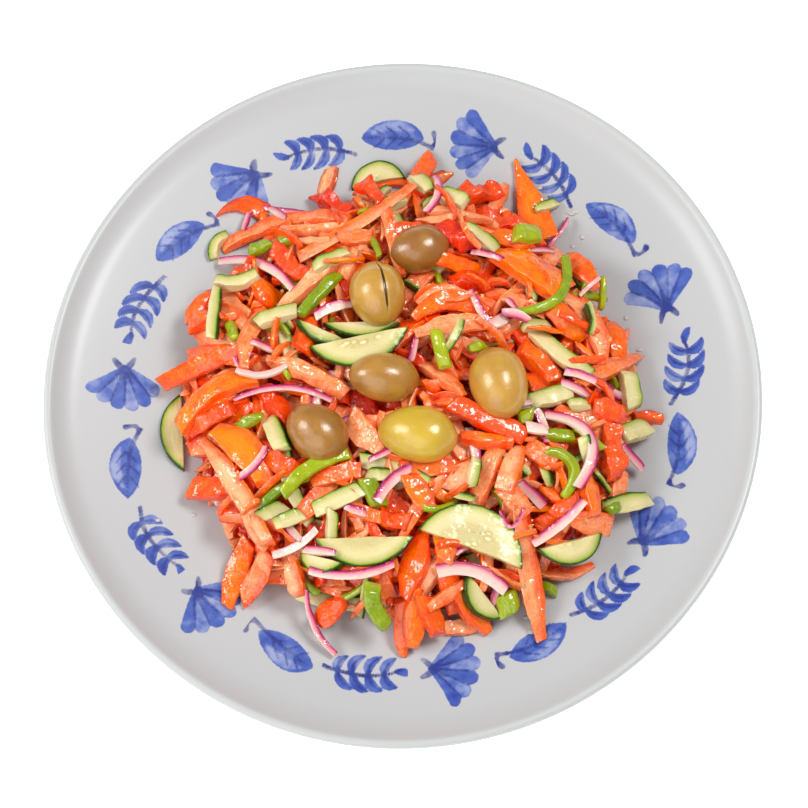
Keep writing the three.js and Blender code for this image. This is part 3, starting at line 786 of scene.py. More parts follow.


# The pieces that catch the eye, placed one by one from the edge of the heap inwards: the kind, both ends,
# the width and the sideways bulge of the middle line, in mm. The tone follows where it is not left to chance.
TOMATO_SEEN = [
    ("spike", -64, 80, -45, 80, 8, 4), ("pale", -18, 96, -23, 83, 7, 0), ("flesh", 18, 86, 28, 89, 6, 0),
    ("spike", 53, 90, 60, 55, 13, 0, 0.3), ("skin", -60, -50, -71, -73, 9, -1),
    ("skin", 11, 79, 21, 95, 7, 0), ("skin", -46, 80, -44, 69, 5, 0), ("skin", 84, -17, 95, -18, 7, 0),
    ("flesh", -54, -57, -65, -70, 8, 1), ("flesh", 2, -89, 22, -90, 6, 0), ("pale", 48, 81, 41, 67, 6, 0),
    ("skin", -7, -78, -9, -96, 7, 0), ("skin", -9, 84, 12, 85, 6, 4), ("flesh", 42, -73, 63, -71, 5, -2),
    ("skin", -39, -81, -27, -78, 9, 0), ("skin", -66, 44, -76, 35, 7, 0),
    ("flesh", 77, -39, 72, -53, 7, 0), ("skin", -2, -76, -6, -95, 8, 0), ("skin", 0, -79, 4, -92, 8, 0),
    ("skin", 11, -75, 22, -92, 7, -1), ("flesh", 54, -58, 70, -59, 9, 0), ("pulp", -25, 85, -12, 71, 7, 0),
    ("pulp", 25, 71, 45, 76, 8, 0), ("flesh", 37, -51, 41, -97, 9, 0), ("pulp", -65, 33, -76, 31, 7, 0),
    ("flesh", -45, -62, -43, -73, 7, 0), ("skin", 80, 19, 81, 4, 8, 0), ("flesh", -62, 67, -13, 65, 6, 5),
    ("skin", -80, -28, -63, -33, 9, 0), ("skin", 66, 45, 75, 29, 7, 0), ("flesh", 15, -76, 1, -84, 5, 0),
    ("pulp", 74, -23, 73, -44, 9, 0), ("pulp", -8, 81, 0, 71, 7, 0), ("skin", 63, -42, 64, -57, 7, 0),
    ("skin", -88, 13, -57, 16, 7, 0), ("flesh", 64, -8, 89, 6, 8, 0), ("skin", 68, -18, 79, -21, 8, 0),
    ("pale", -74, -13, -53, -55, 8, 1, 0.0), ("pulp", -77, -8, -62, -4, 7, 0),
    ("pulp", 44, -58, 58, -52, 7, 0), ("flesh", -39, 65, -14, 62, 6, 0),
    ("skin", -39, -63, -13, -70, 5, 0), ("flesh", 17, 66, 40, 60, 5, 0), ("skin", -81, -8, -51, 3, 8, 4),
    ("flesh", -33, 52, 12, 77, 5, -2), ("skin", 37, 53, 52, 48, 7, 2), ("skin", -6, -80, 3, -57, 11, 0),
    ("pale", 59, 27, 74, 0, 8, 6), ("skin", -69, -11, -52, -33, 13, 3, 0.0),
    ("skin", -50, 45, -43, 36, 9, 0), ("pulp", -41, 56, -32, 44, 8, 0), ("skin", 58, 22, 69, 11, 9, 0),
    ("skin", 42, 47, 63, 27, 14, 0, 0.15), ("pulp", 21, 58, 29, 48, 9, 0),
    ("flesh", -18, 56, -5, 56, 7, 0), ("flesh", 33, -45, 40, -56, 8, 0), ("skin", 0, 56, 17, 56, 5, 2),
    ("flesh", -47, 34, -56, 7, 7, -3), ("flesh", 43, -29, 53, -38, 8, 0), ("flesh", 1, 65, 4, 41, 5, 0),
    ("flesh", -42, -47, -28, -35, 8, 0), ("pulp", -50, -24, -39, -33, 9, 0),
    ("flesh", 41, 28, 55, 20, 6, 0), ("flesh", -41, 30, -14, 50, 6, 1), ("flesh", -17, 42, -12, 51, 7, 0),
    ("skin", 17, 46, 32, 42, 6, 0), ("flesh", 41, -30, 33, -47, 8, 0), ("flesh", -23, -46, -11, -51, 6, 0),
    ("pulp", -12, -50, -1, -54, 8, 0), ("skin", 45, 8, 56, -7, 11, 1), ("pulp", 22, 36, 37, 35, 8, 0),
    ("flesh", 33, -30, 21, -52, 7, 0), ("flesh", -35, -35, -17, -34, 6, 0), ("skin", 0, -37, 6, -50, 8, 0),
    ("skin", -30, 27, -35, 12, 10, 0), ("flesh", 22, -35, 14, -43, 8, 0), ("skin", 19, -25, 38, -29, 8, 0),
    ("flesh", -47, 12, -20, -4, 9, 1), ("flesh", 9, 28, 29, 29, 6, 3), ("flesh", -3, -35, 17, -36, 7, 0),
    ("skin", 17, -13, 43, -27, 8, 0), ("skin", 7, 22, 34, 22, 8, 6), ("flesh", 7, 15, 35, 17, 7, 1),
    ("flesh", -19, -12, -9, -28, 10, 0), ("flesh", 9, 4, 22, -12, 7, 1),
]

# The same for the other kinds, which are laid over the tomato in this order.
OTHERS_SEEN = {
    "moon": [
        (-11, 86, 10, 87, 9, 0), (2, 20, -26, 24, 6, 0), (-19, 16, -36, 24, 5, 0), (5, 18, -32, 14, 11, 0),
        (-1, -59, -36, -56, 11, 0), (-26, -67, -41, -60, 6, 0), (1, -57, 36, -74, 16, 0),
        (26, -88, 16, -73, 7, 0), (66, -62, 42, -67, 8, 0),
    ],
    "stick": [
        (-66, 63, -60, 72, 4, 2), (-50, 25, -35, 29, 6, 0), (-27, 45, -14, 49, 5, 0),
        (-64, 44, -67, 22, 5, 0), (-65, 48, -48, 48, 5, -3), (22, 71, 31, 67, 7, 0),
        (13, 82, 18, 74, 6, 0), (57, 67, 66, 71, 4, 0), (29, 55, 39, 47, 5, 0), (50, 13, 69, -5, 7, -1),
        (46, -14, 61, -11, 7, 0), (83, -2, 84, -16, 7, 0), (46, 14, 56, 15, 4, 0),
        (-48, -10, -44, -24, 7, 0), (-55, -46, -47, -42, 6, 0), (-50, -49, -40, -46, 6, 0),
        (-35, -45, -17, -40, 7, 0), (-29, -46, -31, -56, 4, 0), (-14, -34, -7, -36, 5, 0),
        (68, -53, 85, -49, 7, 0), (78, -27, 89, -23, 8, 0), (64, -28, 66, -38, 5, 0),
        (60, -17, 67, -17, 4, 0), (24, -34, 21, -44, 4, 0), (15, -45, 22, -47, 3, 0),
    ],
    "pepper": [
        (-34, 27, -19, 42, 5, 0), (-60, 29, -58, 20, 4, 0), (-51, 58, -42, 60, 5, 0),
        (-39, 59, -34, 60, 5, 0), (65, 42, 43, 20, 4, 9), (47, 52, 57, 53, 8, 0), (15, 15, 17, 0, 5, 0),
        (26, 9, 32, 10, 4, 0), (-46, -39, -21, -27, 6, 3), (-60, -12, -50, -9, 4, 0),
        (-16, -37, -12, -47, 7, 0), (-17, -75, -14, -88, 7, -2), (49, -34, 54, -49, 4, 7),
        (41, -19, 47, -18, 5, 0), (27, -85, 34, -81, 8, 0), (43, -77, 48, -80, 4, 0),
        (69, -55, 74, -53, 4, 0), (50, -27, 60, -28, 5, 0),
    ],
    "onion": [
        (-64, 61, -36, 38, 5, 4), (-46, 82, -30, 79, 3, 0), (-43, 79, -37, 72, 4, 0),
        (-51, 80, -54, 72, 3, 0), (-29, 26, -15, 31, 5, 1), (-53, 18, -45, 15, 3, 0),
        (-59, 7, -40, 8, 3, -3), (-61, -2, -25, -7, 3, 5), (21, 82, 16, 63, 4, 3), (31, 47, 42, 42, 3, 1),
        (61, 53, 70, 64, 2, -1), (69, 26, 77, 32, 2, 0), (29, 30, 37, 12, 4, -1), (35, 15, 41, 19, 6, 0),
        (60, -3, 76, -11, 4, 1), (58, -8, 67, -13, 4, 0), (4, 5, 7, 15, 3, 0), (42, 26, 45, 21, 3, 0),
        (-40, -59, -29, -63, 4, 0), (-52, -58, -35, -52, 4, -2), (-39, -67, -9, -68, 4, -3),
        (-41, -72, -33, -95, 3, -3), (-13, -46, 1, -35, 5, 2), (-14, -31, -3, -27, 3, 0),
        (-24, -46, -17, -49, 4, 0), (51, -19, 59, -47, 5, 11), (41, -65, 61, -53, 5, -1),
        (6, -72, 30, -80, 6, 4), (31, -53, 39, -54, 2, -6), (39, -43, 47, -51, 5, 0),
        (43, -24, 51, -26, 5, 0), (78, -30, 85, -38, 4, 0),
    ],
}

# Share of each kind among the pieces under the top layer and among the shreds, and the mean width in mm of
# the former.
UNDER_SHARES = {
    "flesh": 0.39, "skin": 0.22, "pulp": 0.12, "pale": 0.11, "stick": 0.06, "pepper": 0.04, "onion": 0.06,
}
SHRED_SHARES = {"flesh": 0.38, "skin": 0.28, "pale": 0.16, "pepper": 0.05, "onion": 0.07, "stick": 0.06}
UNDER_WIDTHS = {
    "flesh": 7.5, "skin": 8.0, "pulp": 9.0, "pale": 6.5, "stick": 5.5, "pepper": 4.0, "onion": 3.2,
}
# Their lengths and how far they bulge, in mm.
UNDER_LENGTH, SLIVER_LENGTH = (16, 36), (12, 24)
NEARLY_STRAIGHT, ARCHED = (-3, 3), (2, 6)
# How many shreds lie under the pieces that are seen and how many over them, and how far those stay from the
# middles of the olives and the moons, in mm. Then a shred's half-length, width and bulge.
SHREDS_UNDER, SHREDS_OVER, SHRED_FREE = 150, 45, 15
SHRED_HALF, SHRED_WIDTH, SHRED_BEND = (4, 9), (1.8, 3.6), (-2, 2)
# How far inside the heap's reach the pieces placed by chance end, and the shreds on top of it, in mm.
INSIDE, INSIDE_ON_TOP = 10, 18
# The mean tone of each kind from light to dark, and how much it varies.
TONES = {"flesh": 0.38, "spike": 0.6, "skin": 0.6, "pale": 0.14, "pulp": 0.6}
TONE_SPREAD = 0.26
# The onion of the table is laid this much narrower.
ONION_NARROWED = 0.8


def under_pieces(draw, count, centre, reach):
    """Pieces under the top layer: even over the heap by the golden angle, each turned its own way and drawn
    in until both its ends are within the reach."""
    golden = math.pi * (3 - math.sqrt(5))
    names = list(UNDER_SHARES)
    chosen = draw.choice(len(names), size=count, p=list(UNDER_SHARES.values()))
    order = draw.permutation(count)
    for index in range(count):
        kind = names[chosen[index]]
        distance = reach * math.sqrt((order[index] + 0.5) / count)
        around = order[index] * golden
        middle = np.add(centre, (distance * math.cos(around), distance * math.sin(around)))
        yaw = draw.uniform(0, 2 * math.pi)
        length = draw.uniform(*(UNDER_LENGTH if kind != "onion" else SLIVER_LENGTH))
        half = length / 2 * np.array([math.cos(yaw), math.sin(yaw)])
        farthest = max(np.hypot(*(middle - half - centre)), np.hypot(*(middle + half - centre)))
        middle = middle - (middle - centre) / max(distance, 1.0) * max(0.0, farthest - reach)
        width = UNDER_WIDTHS[kind] * draw.uniform(0.55, 1.3)
        bend = draw.uniform(*(NEARLY_STRAIGHT if kind not in ("onion", "pepper") else ARCHED))
        yield kind, middle - half, middle + half, width, bend


def keep_clear():
    """The middles of the olives and the moons, which no small shred covers."""
    olives = [box_mm(name).mean(axis=0)[:2] for name in OLIVE_NODES]
    moons = [((x0 + x1) / 2, (y0 + y1) / 2) for x0, y0, x1, y1, *_ in OTHERS_SEEN["moon"]]
    return np.array(olives + moons)


def shreds(draw, count, centre, reach, clear=np.zeros((0, 2))):
    """Thin shreds that fill the gaps: at random over the heap's disc, each turned its own way, and none near
    the points to keep clear."""
    names = list(SHRED_SHARES)
    chosen = draw.choice(len(names), size=count, p=list(SHRED_SHARES.values()))
    for index in range(count):
        distance, around, yaw = reach * math.sqrt(draw.random()), *draw.uniform(0, 2 * math.pi, 2)
        middle = np.add(centre, (distance * math.cos(around), distance * math.sin(around)))
        half = draw.uniform(*SHRED_HALF) * np.array([math.cos(yaw), math.sin(yaw)])
        if np.any(np.hypot(*(clear - middle).T) < SHRED_FREE):
            continue
        width, bend = draw.uniform(*SHRED_WIDTH), draw.uniform(*SHRED_BEND)
        yield names[chosen[index]], middle - half, middle + half, width, bend


@functools.lru_cache(maxsize=2)
def laid_heap(seed, count, centre, reach):
    """Lays the whole heap in order and returns each group's points and fields, and the heights on top."""
    draw = np.random.default_rng(seed)
    heights = Heights()
    inner = reach - INSIDE
    seen = TOMATO_SEEN + [(kind, *row) for kind, rows in OTHERS_SEEN.items() for row in rows]
    order = [(*piece, None, UNDER_RINGS) for piece in under_pieces(draw, count, centre, inner)]
    order += [(*piece, None, UNDER_RINGS) for piece in shreds(draw, SHREDS_UNDER, centre, inner)]
    for kind, x0, y0, x1, y1, width, bend, *tone in seen:
        width = ONION_NARROWED * width if kind == "onion" else width
        order.append((kind, (x0, y0), (x1, y1), width, bend, tone[0] if tone else None, RINGS))
    over = shreds(draw, SHREDS_OVER, centre, reach - INSIDE_ON_TOP, keep_clear())
    order += [(*piece, None, UNDER_RINGS) for piece in over]
    groups = {}
    for kind, start, end, width, bend, tone, rings in order:
        drawn = float(np.clip(TONES.get(kind, 0.5) + draw.normal(0, TONE_SPREAD), 0, 1))
        tone = drawn if tone is None else tone
        piece = lay_piece(heights, draw, kind, start, end, width, bend, tone, rings)
        groups.setdefault(KINDS[kind].group, []).append(piece)
    return groups, heights


def heap():
    """The laid heap for the scene's settings: each group's points and fields, and the heights on top."""
    sizes = bpy.context.scene.salad_heap
    return laid_heap(sizes.seed, sizes.under_count, (sizes.centre_x, sizes.centre_y), sizes.reach)


def joined_group(group):
    """The points, faces and fields of all the pieces of one group as one mesh."""
    pieces = heap()[0][group]
    points = np.concatenate([piece[0] for piece in pieces])
    sizes = [len(piece[0]) for piece in pieces]
    tubes = {size: tube_faces((size - 2) // AROUND, AROUND) for size in set(sizes)}
    starts = np.cumsum([0, *sizes[:-1]])
    faces = [start + block for start, size in zip(starts, sizes) for block in tubes[size]]
    fields = {key: np.concatenate([piece[1][key] for piece in pieces]) for key in pieces[0][1]}
    return points, faces, fields


# ---- Materials of the food --------------------------------------------------------------------------------

# Each food's material: its colours by the share of its depth under the skin, for the lightest pieces and for
# the darkest, as a colour of the settings or a hex value, and where it differs from a plain look.
FOODS = {
    # Skin of ripe tomato over its flesh: a thin smooth glossy film, orange to red, and where it's cut, the
    # flesh under it. Its edge colour is painted shade for its sides, its underside and the parts deep in the
    # heap.
    "tomato_skin": dict(
        light=[(0.0, "skin_orange"), (0.17, "skin_orange"), (0.32, "#FF7C24"), (0.6, "#FF9A60"),
               (1.0, "flesh_pale")],
        dark=[(0.0, "skin_red"), (0.17, "skin_red"), (0.32, "#F4460C"), (1.0, "flesh_red")],
        edge="#FFB47C", sparkle=0.6, speckle=0.5, streak=1.5,
    ),
    # Cut flesh of ripe tomato: watery cells that scatter light, salmon to red, with a thin orange-red skin on
    # one side. Painted shade makes a strip richer at its edges and underside and leaves the middle of its top
    # pale.
    "tomato_flesh": dict(
        light=[(0.0, "skin_orange"), (0.17, "skin_orange"), (0.3, "#FF8440"), (0.55, "#FF9E70"),
               (1.0, "flesh_pale")],
        dark=[(0.0, "skin_red"), (0.17, "skin_red"), (0.3, "#F4460C"), (1.0, "flesh_red")],
        edge="#FFAA70", glow=0.4, sparkle=0.9, speckle=0.65, streak=1.8,
    ),
    # The wet inside of a tomato: gel and soft flesh, deep red and glossy. Its edge colour is painted shade
    # for its sides, its underside and the parts deep in the heap.
    "tomato_pulp": dict(
        light=[(0.0, "pulp_orange"), (1.0, "pulp_orange")], dark=[(0.0, "pulp_red"), (1.0, "pulp_red")],
        edge="#FFA468", wet=0.8, glow=0.4, sparkle=1.0, speckle=0.4, streak=1.0,
    ),
    # Fresh cucumber: a dark green skin under half a millimetre thick, light green under it that fades over
    # 4 mm into pale wet flesh, and a clearer zone with seeds in the middle.
    "cut_cucumber": dict(
        light=[(0.0, "cucumber_skin"), (0.05, "cucumber_skin"), (0.085, "#7E9C26"), (0.14, "#B4B860"),
               (0.24, "#CEC488"), (0.38, "cucumber_flesh"), (0.75, "cucumber_flesh"), (1.0, "#CFBE86")],
        dark=[(0.0, "cucumber_skin"), (0.05, "cucumber_skin"), (0.085, "#648A1C"), (0.15, "#A2AC50"),
              (0.28, "#C4BC7A"), (0.45, "#D6CA92"), (0.75, "#D0C288"), (1.0, "#C0B074")],
        depth=9.0, seeds=6.0, wet=0.3, glow=0.25, sparkle=0.25, speckle=0.4, streak=1.0,
    ),
    # Green pepper: a bright waxy skin over a thin, paler wall.
    "green_pepper": dict(
        light=[(0.0, "pepper_skin"), (0.3, "pepper_skin"), (0.55, "#B2B43A"), (1.0, "#D6D298")],
        dark=[(0.0, "#6C8A08"), (0.3, "#7E9608"), (0.55, "#96A020"), (1.0, "#C4C270")],
        glow=0.2, sparkle=0.6, speckle=0.2, streak=0.9,
    ),
    # Red onion: clear pale layers whose outer face is purple, with fine lines along them.
    "red_onion": dict(
        light=[(0.0, "onion_skin"), (0.07, "onion_skin"), (0.14, "#CE3C7C"), (0.26, "#E6949E"),
               (0.5, "onion_flesh"), (1.0, "#E8D0C0")],
        dark=[(0.0, "#6E0438"), (0.12, "onion_skin"), (0.22, "#C43472"), (0.38, "#DC8A94"),
              (0.65, "#E2B0AA"), (1.0, "onion_flesh")],
        wet=0.8, glow=0.4, sparkle=0.7, speckle=0.2, streak=1.2,
    ),
    # Chopped fresh herb: thin dark green leaf, matt, wet with juice.
    "chopped_herb": dict(
        light=[(0.0, "#56701A"), (1.0, "#56701A")], dark=[(0.0, "#2A3C08"), (1.0, "#2A3C08")],
        wet=0.5, glow=0.1,
    ),
}
# The depth in mm over which the colours run, where the seeds start, the film of juice, the light scattered
# inside, the relief of the grain and of the film, how strongly fibres and grains change the tone, and the
# colour of painted shade that the sides, undersides and parts deep in the heap are multiplied by.
PLAIN_LOOK = dict(depth=4.0, seeds=None, wet=0.9, glow=0.3, grain=0.25, sparkle=0.5, streak=0.8, speckle=0.3,
                  edge=None)
# A cucumber's seeds from their middles outwards: the pale seed, its darker rim and the clear gel round it.
SEED_COLOURS = [(0.12, "#F0E6B8"), (0.24, "#DCCC98"), (0.31, "#AFA462"), (0.42, "#CABC84")]


def food_stops(pairs):
    """Ramp stops from places with a colour of the settings or a hex value."""
    colours = bpy.context.scene.salad_heap
    return [(place, linear(getattr(colours, colour, colour))) for place, colour in pairs]


def food_material(name):
    """A wet cut vegetable. Its colour runs by the depth in mm under its skin, in one way for the lightest
    pieces and in another for the darkest, and each piece's tone, its fibres, patches about 5 mm across and
    grains about 1 mm across mix the two. Painted shade makes its edges, its underside and what lies deep in
    the heap richer and darker, and leaves the middle of its top pale. A film of juice lies over it, with
    beads and waves about 3 mm long that make it sparkle."""
    look = {**PLAIN_LOOK, **FOODS[name]}
    material, tree, shader = new_material(name)
    place = add_node(tree, "Attribute", output="Vector", attribute_name="place")
    depth = add_node(tree, "Attribute", output="Fac", attribute_name="skin_depth")
    tone = add_node(tree, "Attribute", output="Fac", attribute_name="tone")
    spot = add_node(tree, "TexCoord", output="Object")
    fibres = add_node(tree, "Mapping", {"Vector": place, "Scale": (0.2, 1.3, 1.3)})
    fibre = add_node(tree, "TexNoise", {"Vector": fibres, "Scale": 1.0, "Detail": 5.0})
    cells = add_node(tree, "TexVoronoi", {"Vector": spot, "Scale": per_metre(1.0)})
    cloud = add_node(tree, "TexNoise", {"Vector": spot, "Scale": per_metre(4.762), "Detail": 4.0})
    film = add_node(tree, "TexNoise", {"Vector": spot, "Scale": per_metre(3.0303), "Detail": 1.0})
    uneven = add_node(tree, "Math", {0: cloud, 1: 1.0, 2: depth}, operation="MULTIPLY_ADD")
    shifted = add_node(tree, "Math", {0: uneven, 1: -0.5}, operation="ADD")
    share = add_node(tree, "MapRange", {"Value": shifted, "From Max": look["depth"]})
    for value, part in ((fibre, 0.7 * look["streak"]), (cloud, look["streak"]), (cells, look["speckle"])):
        centred = add_node(tree, "Math", {0: value, 1: -0.48}, operation="ADD")
        tone = add_node(tree, "Math", {0: centred, 1: part, 2: tone}, operation="MULTIPLY_ADD")
    tone = add_node(tree, "MapRange", {"Value": tone})
    light = add_node(tree, "ValToRGB", {"Fac": share}, stops=food_stops(look["light"]))
    dark = add_node(tree, "ValToRGB", {"Fac": share}, stops=food_stops(look["dark"]))
    colour = add_node(tree, "Mix", {"Factor": tone, 6: light, 7: dark}, output=2, data_type="RGBA")
    if look["seeds"]:
        ovals = add_node(tree, "Mapping", {"Vector": place, "Scale": (0.2, 0.36, 0.0)})
        core = add_node(tree, "TexVoronoi", {"Vector": ovals, "Scale": 1.0})
        inside = {"Value": depth, "From Min": look["seeds"], "From Max": look["seeds"] + 1.5, "To Max": 0.75}
        mask = add_node(tree, "MapRange", inside)
        seed = add_node(tree, "ValToRGB", {"Fac": core}, stops=food_stops(SEED_COLOURS))
        colour = add_node(tree, "Mix", {"Factor": mask, 6: colour, 7: seed}, output=2, data_type="RGBA")
    # Painted shade: the colour is multiplied by the edge colour at the sides and undersides of the pieces and
    # deep in the heap.
    if look["edge"]:
        edge = add_node(tree, "Attribute", output="Fac", attribute_name="edge")
        painted_shade_mix = {"Factor": edge, 6: colour, 7: linear(look["edge"])}
        colour = add_node(tree, "Mix", painted_shade_mix, output=2, data_type="RGBA", blend_type="MULTIPLY")
    wetness = {"Value": film, "From Min": 0.4, "From Max": 0.6, "To Min": 0.45, "To Max": 0.12}
    relief = add_node(tree, "Math", {0: cells, 1: 0.3, 2: fibre}, operation="MULTIPLY_ADD")
    beads = add_node(tree, "Math", {0: cells, 1: 0.08, 2: film}, operation="MULTIPLY_ADD")
    grain = {"Height": relief, "Strength": look["grain"], "Distance": 1.2 * MM}
    waves = {"Height": beads, "Strength": look["sparkle"], "Distance": 1.2 * MM}
    join(shader, {"Base Color": colour, "Roughness": add_node(tree, "MapRange", wetness), "IOR": 1.25})
    join(shader, {"Normal": add_node(tree, "Bump", grain), "Coat Normal": add_node(tree, "Bump", waves)})
    join(shader, {"Coat Weight": look["wet"], "Coat Roughness": 0.1, "Coat IOR": 1.6})
    join(shader, {"Subsurface Weight": look["glow"], "Subsurface Scale": 3.5 * MM})
    join(shader, {"Subsurface Radius": (1.0, 0.3, 0.12)})
    return material


# Each group of laid pieces with its piece's name and its material.
FOOD_PIECES = {
    "flesh": ("tomato_flesh_strips", "tomato_flesh"),
    "skin": ("tomato_skin_strips", "tomato_skin"),
    "pulp": ("tomato_pulp", "tomato_pulp"),
    "cucumber": ("cucumber_slices", "cut_cucumber"),
    "pepper": ("green_pepper_strips", "green_pepper"),
    "onion": ("red_onion_slivers", "red_onion"),
}

# How strongly the larger faces lead the shading of a cut piece, in percent.
CUT_WEIGHT = 80


def add_groups(*groups):
    """Adds each group of the laid heap as a piece."""
    for group in groups:
        name, material = FOOD_PIECES[group]
        flatten_cuts(make_piece(name, *joined_group(group), food_material(material), "cut_vegetables"))
    return {"FINISHED"}


def flatten_cuts(piece):
    """Lets wide cut faces keep their own direction in the shading, so that only the bevels turn."""
    modifier = piece.modifiers.new("cut_faces", "WEIGHTED_NORMAL")
    modifier.mode = "FACE_AREA"
    modifier.weight = CUT_WEIGHT


# The height and wavelength of the core's lumps in mm, and its dark tone, which with a little more is also the
# strength of its painted shade.
CORE_LUMP, CORE_WAVES, CORE_TONE_AND_SHADE = 1.1, 8.0, 0.75


class SALAD_OT_core(bpy.types.Operator):
    """Adds the low mound of juicy scraps under the pieces"""

    bl_idname = "salad.core"
    bl_label = "Heap core"

    rings: count_setting("Rings", "Rings of the mound", 60)
    segments: count_setting("Segments", "Steps round the mound", 240)

    def execute(self, context):
        sizes = context.scene.salad_heap
        reach = np.linspace(0.01, 1, self.rings) * (sizes.core_reach - 0.5)
        turn = np.linspace(0, 2 * np.pi, self.segments, endpoint=False)
        x = sizes.centre_x + reach[:, None] * np.cos(turn)
        y = sizes.centre_y + reach[:, None] * np.sin(turn)
        flat = np.stack([x, y, np.zeros_like(x)], -1).reshape(-1, 3)
        lumps = np.repeat(1 - (reach / sizes.core_reach) ** 6, self.segments)
        z = core_top(flat[:, 0], flat[:, 1]) + CORE_LUMP * ripple(flat, CORE_WAVES, 21) * lumps
        floor = plate_top(np.hypot(flat[:, 0], flat[:, 1]))
        top = np.column_stack([flat[:, :2], np.maximum(z, floor + 0.1)])
        bottom = np.column_stack([flat[:, :2], floor - 0.4]).reshape(self.rings, self.segments, 3)[::-1]
        centre = np.array([sizes.centre_x, sizes.centre_y])
        poles = [(*centre, top[: self.segments, 2].mean()), (*centre, bottom[-1, :, 2].mean())]
        points = np.concatenate([top, bottom.reshape(-1, 3), poles])
        quads, fans = tube_faces(2 * self.rings, self.segments)
        fields = {
            "skin_depth": np.full(len(points), NO_SKIN),
            "tone": np.full(len(points), CORE_TONE_AND_SHADE),
            # The core lies deep in the heap and gets strong painted shade all over.
            "edge": np.full(len(points), CORE_TONE_AND_SHADE + 0.05),
            "place": points,
        }
        faces = [quads[:, ::-1], fans[:, ::-1]]
        make_piece("heap_core", points, faces, fields, food_material("tomato_pulp"), "cut_vegetables",
                   ["salad_heap"])
        return {"FINISHED"}


class SALAD_OT_tomato(bpy.types.Operator):
    """Adds the strips, wedges and wet pulp of tomato"""

    bl_idname = "salad.tomato"
    bl_label = "Tomato"

    def execute(self, context):
        return add_groups("flesh", "skin", "pulp")


class SALAD_OT_cucumber(bpy.types.Operator):
    """Adds the half-moons and sticks of cucumber"""

    bl_idname = "salad.cucumber"
    bl_label = "Cucumber"

    def execute(self, context):
        return add_groups("cucumber")


class SALAD_OT_pepper(bpy.types.Operator):
    """Adds the strips of green pepper"""

    bl_idname = "salad.pepper"
    bl_label = "Green pepper"

    def execute(self, context):
        return add_groups("pepper")


class SALAD_OT_onion(bpy.types.Operator):
    """Adds the slivers of red onion"""

    bl_idname = "salad.onion"
    bl_label = "Red onion"

    def execute(self, context):
        return add_groups("onion")


# ---- Seeds and scraps -------------------------------------------------------------------------------------

# Each kind of small piece: how many, its half-sizes in mm along, across and up, its unevenness, its tone and
# its material.
Scrap = collections.namedtuple("Scrap", "count half uneven tone material")
SCRAPS = {
    "tomato_scraps": Scrap(170, (3.6, 1.6, 0.9), 0.55, 0.45, "tomato_flesh"),
    "pulp_scraps": Scrap(90, (3.0, 2.0, 1.0), 0.6, 0.35, "tomato_pulp"),
    "herb_flecks": Scrap(80, (1.3, 0.55, 0.18), 0.4, 0.5, "chopped_herb"),
}
# A small piece has only this many rings along it and points round it.
SCRAP_RINGS, SCRAP_AROUND = 5, 8
# How many random places each small piece chooses from, and how far round a place counts as beside it, in mm.
CHOICES, BESIDE = 40, 5


def ellipsoid(polar, turn, belly):
    """Points of a unit ball with its poles on X, ring by ring, and then the two poles. The belly is the
    radius of each ring."""
    along = -np.cos(polar)[:, None] * np.ones(len(turn))
    side, up = belly[:, None] * np.cos(turn), belly[:, None] * np.sin(turn)
    return np.concatenate([np.stack([along, side, up], -1).reshape(-1, 3), [(-1, 0, 0), (1, 0, 0)]])


def scrap_points(draw, half, uneven, count):
    """Small lumps at the origin: a ball drawn out to random half-sizes and made uneven by three waves with
    random directions and phases, for all of them at once."""
    polar = np.linspace(0, np.pi, SCRAP_RINGS + 2)[1:-1]
    unit = ellipsoid(polar, np.linspace(0, 2 * np.pi, SCRAP_AROUND, endpoint=False), np.sin(polar))
    waves = draw.normal(0, 2.2, (count, 3, 3))
    phases = draw.uniform(0, 2 * np.pi, (count, 1, 3))
    bumps = np.sin(unit @ waves + phases).sum(-1, keepdims=True) / 3
    size = np.array(half) * draw.uniform(0.6, 1.4, (count, 1, 3))
    return unit * size * (1 + uneven * bumps)


def settle(draw, heights, count, sink):
    """Places for small pieces in the gaps between the others: from a few random places each takes the one
    that lies lowest against the mean height of the square round it."""
    sizes = bpy.context.scene.salad_heap
    centre = np.array([sizes.centre_x, sizes.centre_y])
    reach = (sizes.reach - INSIDE) * np.sqrt(draw.uniform(0, 1, (count, CHOICES)))
    angle = draw.uniform(0, 2 * np.pi, (count, CHOICES))
    spots = centre + np.stack([reach * np.cos(angle), reach * np.sin(angle)], -1)
    across = 2 * BESIDE + 1
    wide = np.pad(heights.top, BESIDE, mode="edge")
    window = np.lib.stride_tricks.sliding_window_view(wide, (across, across))
    under = (heights.top - window.mean(axis=(2, 3)))[heights.cell(spots)]
    chosen = spots[np.arange(count), np.argmin(under, axis=1)]
    return np.column_stack([chosen, heights.at(chosen) - sink])


def repeated_faces(count):
    """The faces of a small piece, once for each of a number of them."""
    starts = np.arange(count)[:, None, None] * (SCRAP_RINGS * SCRAP_AROUND + 2)
    blocks = tube_faces(SCRAP_RINGS, SCRAP_AROUND)
    return [(starts + block[None]).reshape(-1, block.shape[1]) for block in blocks]


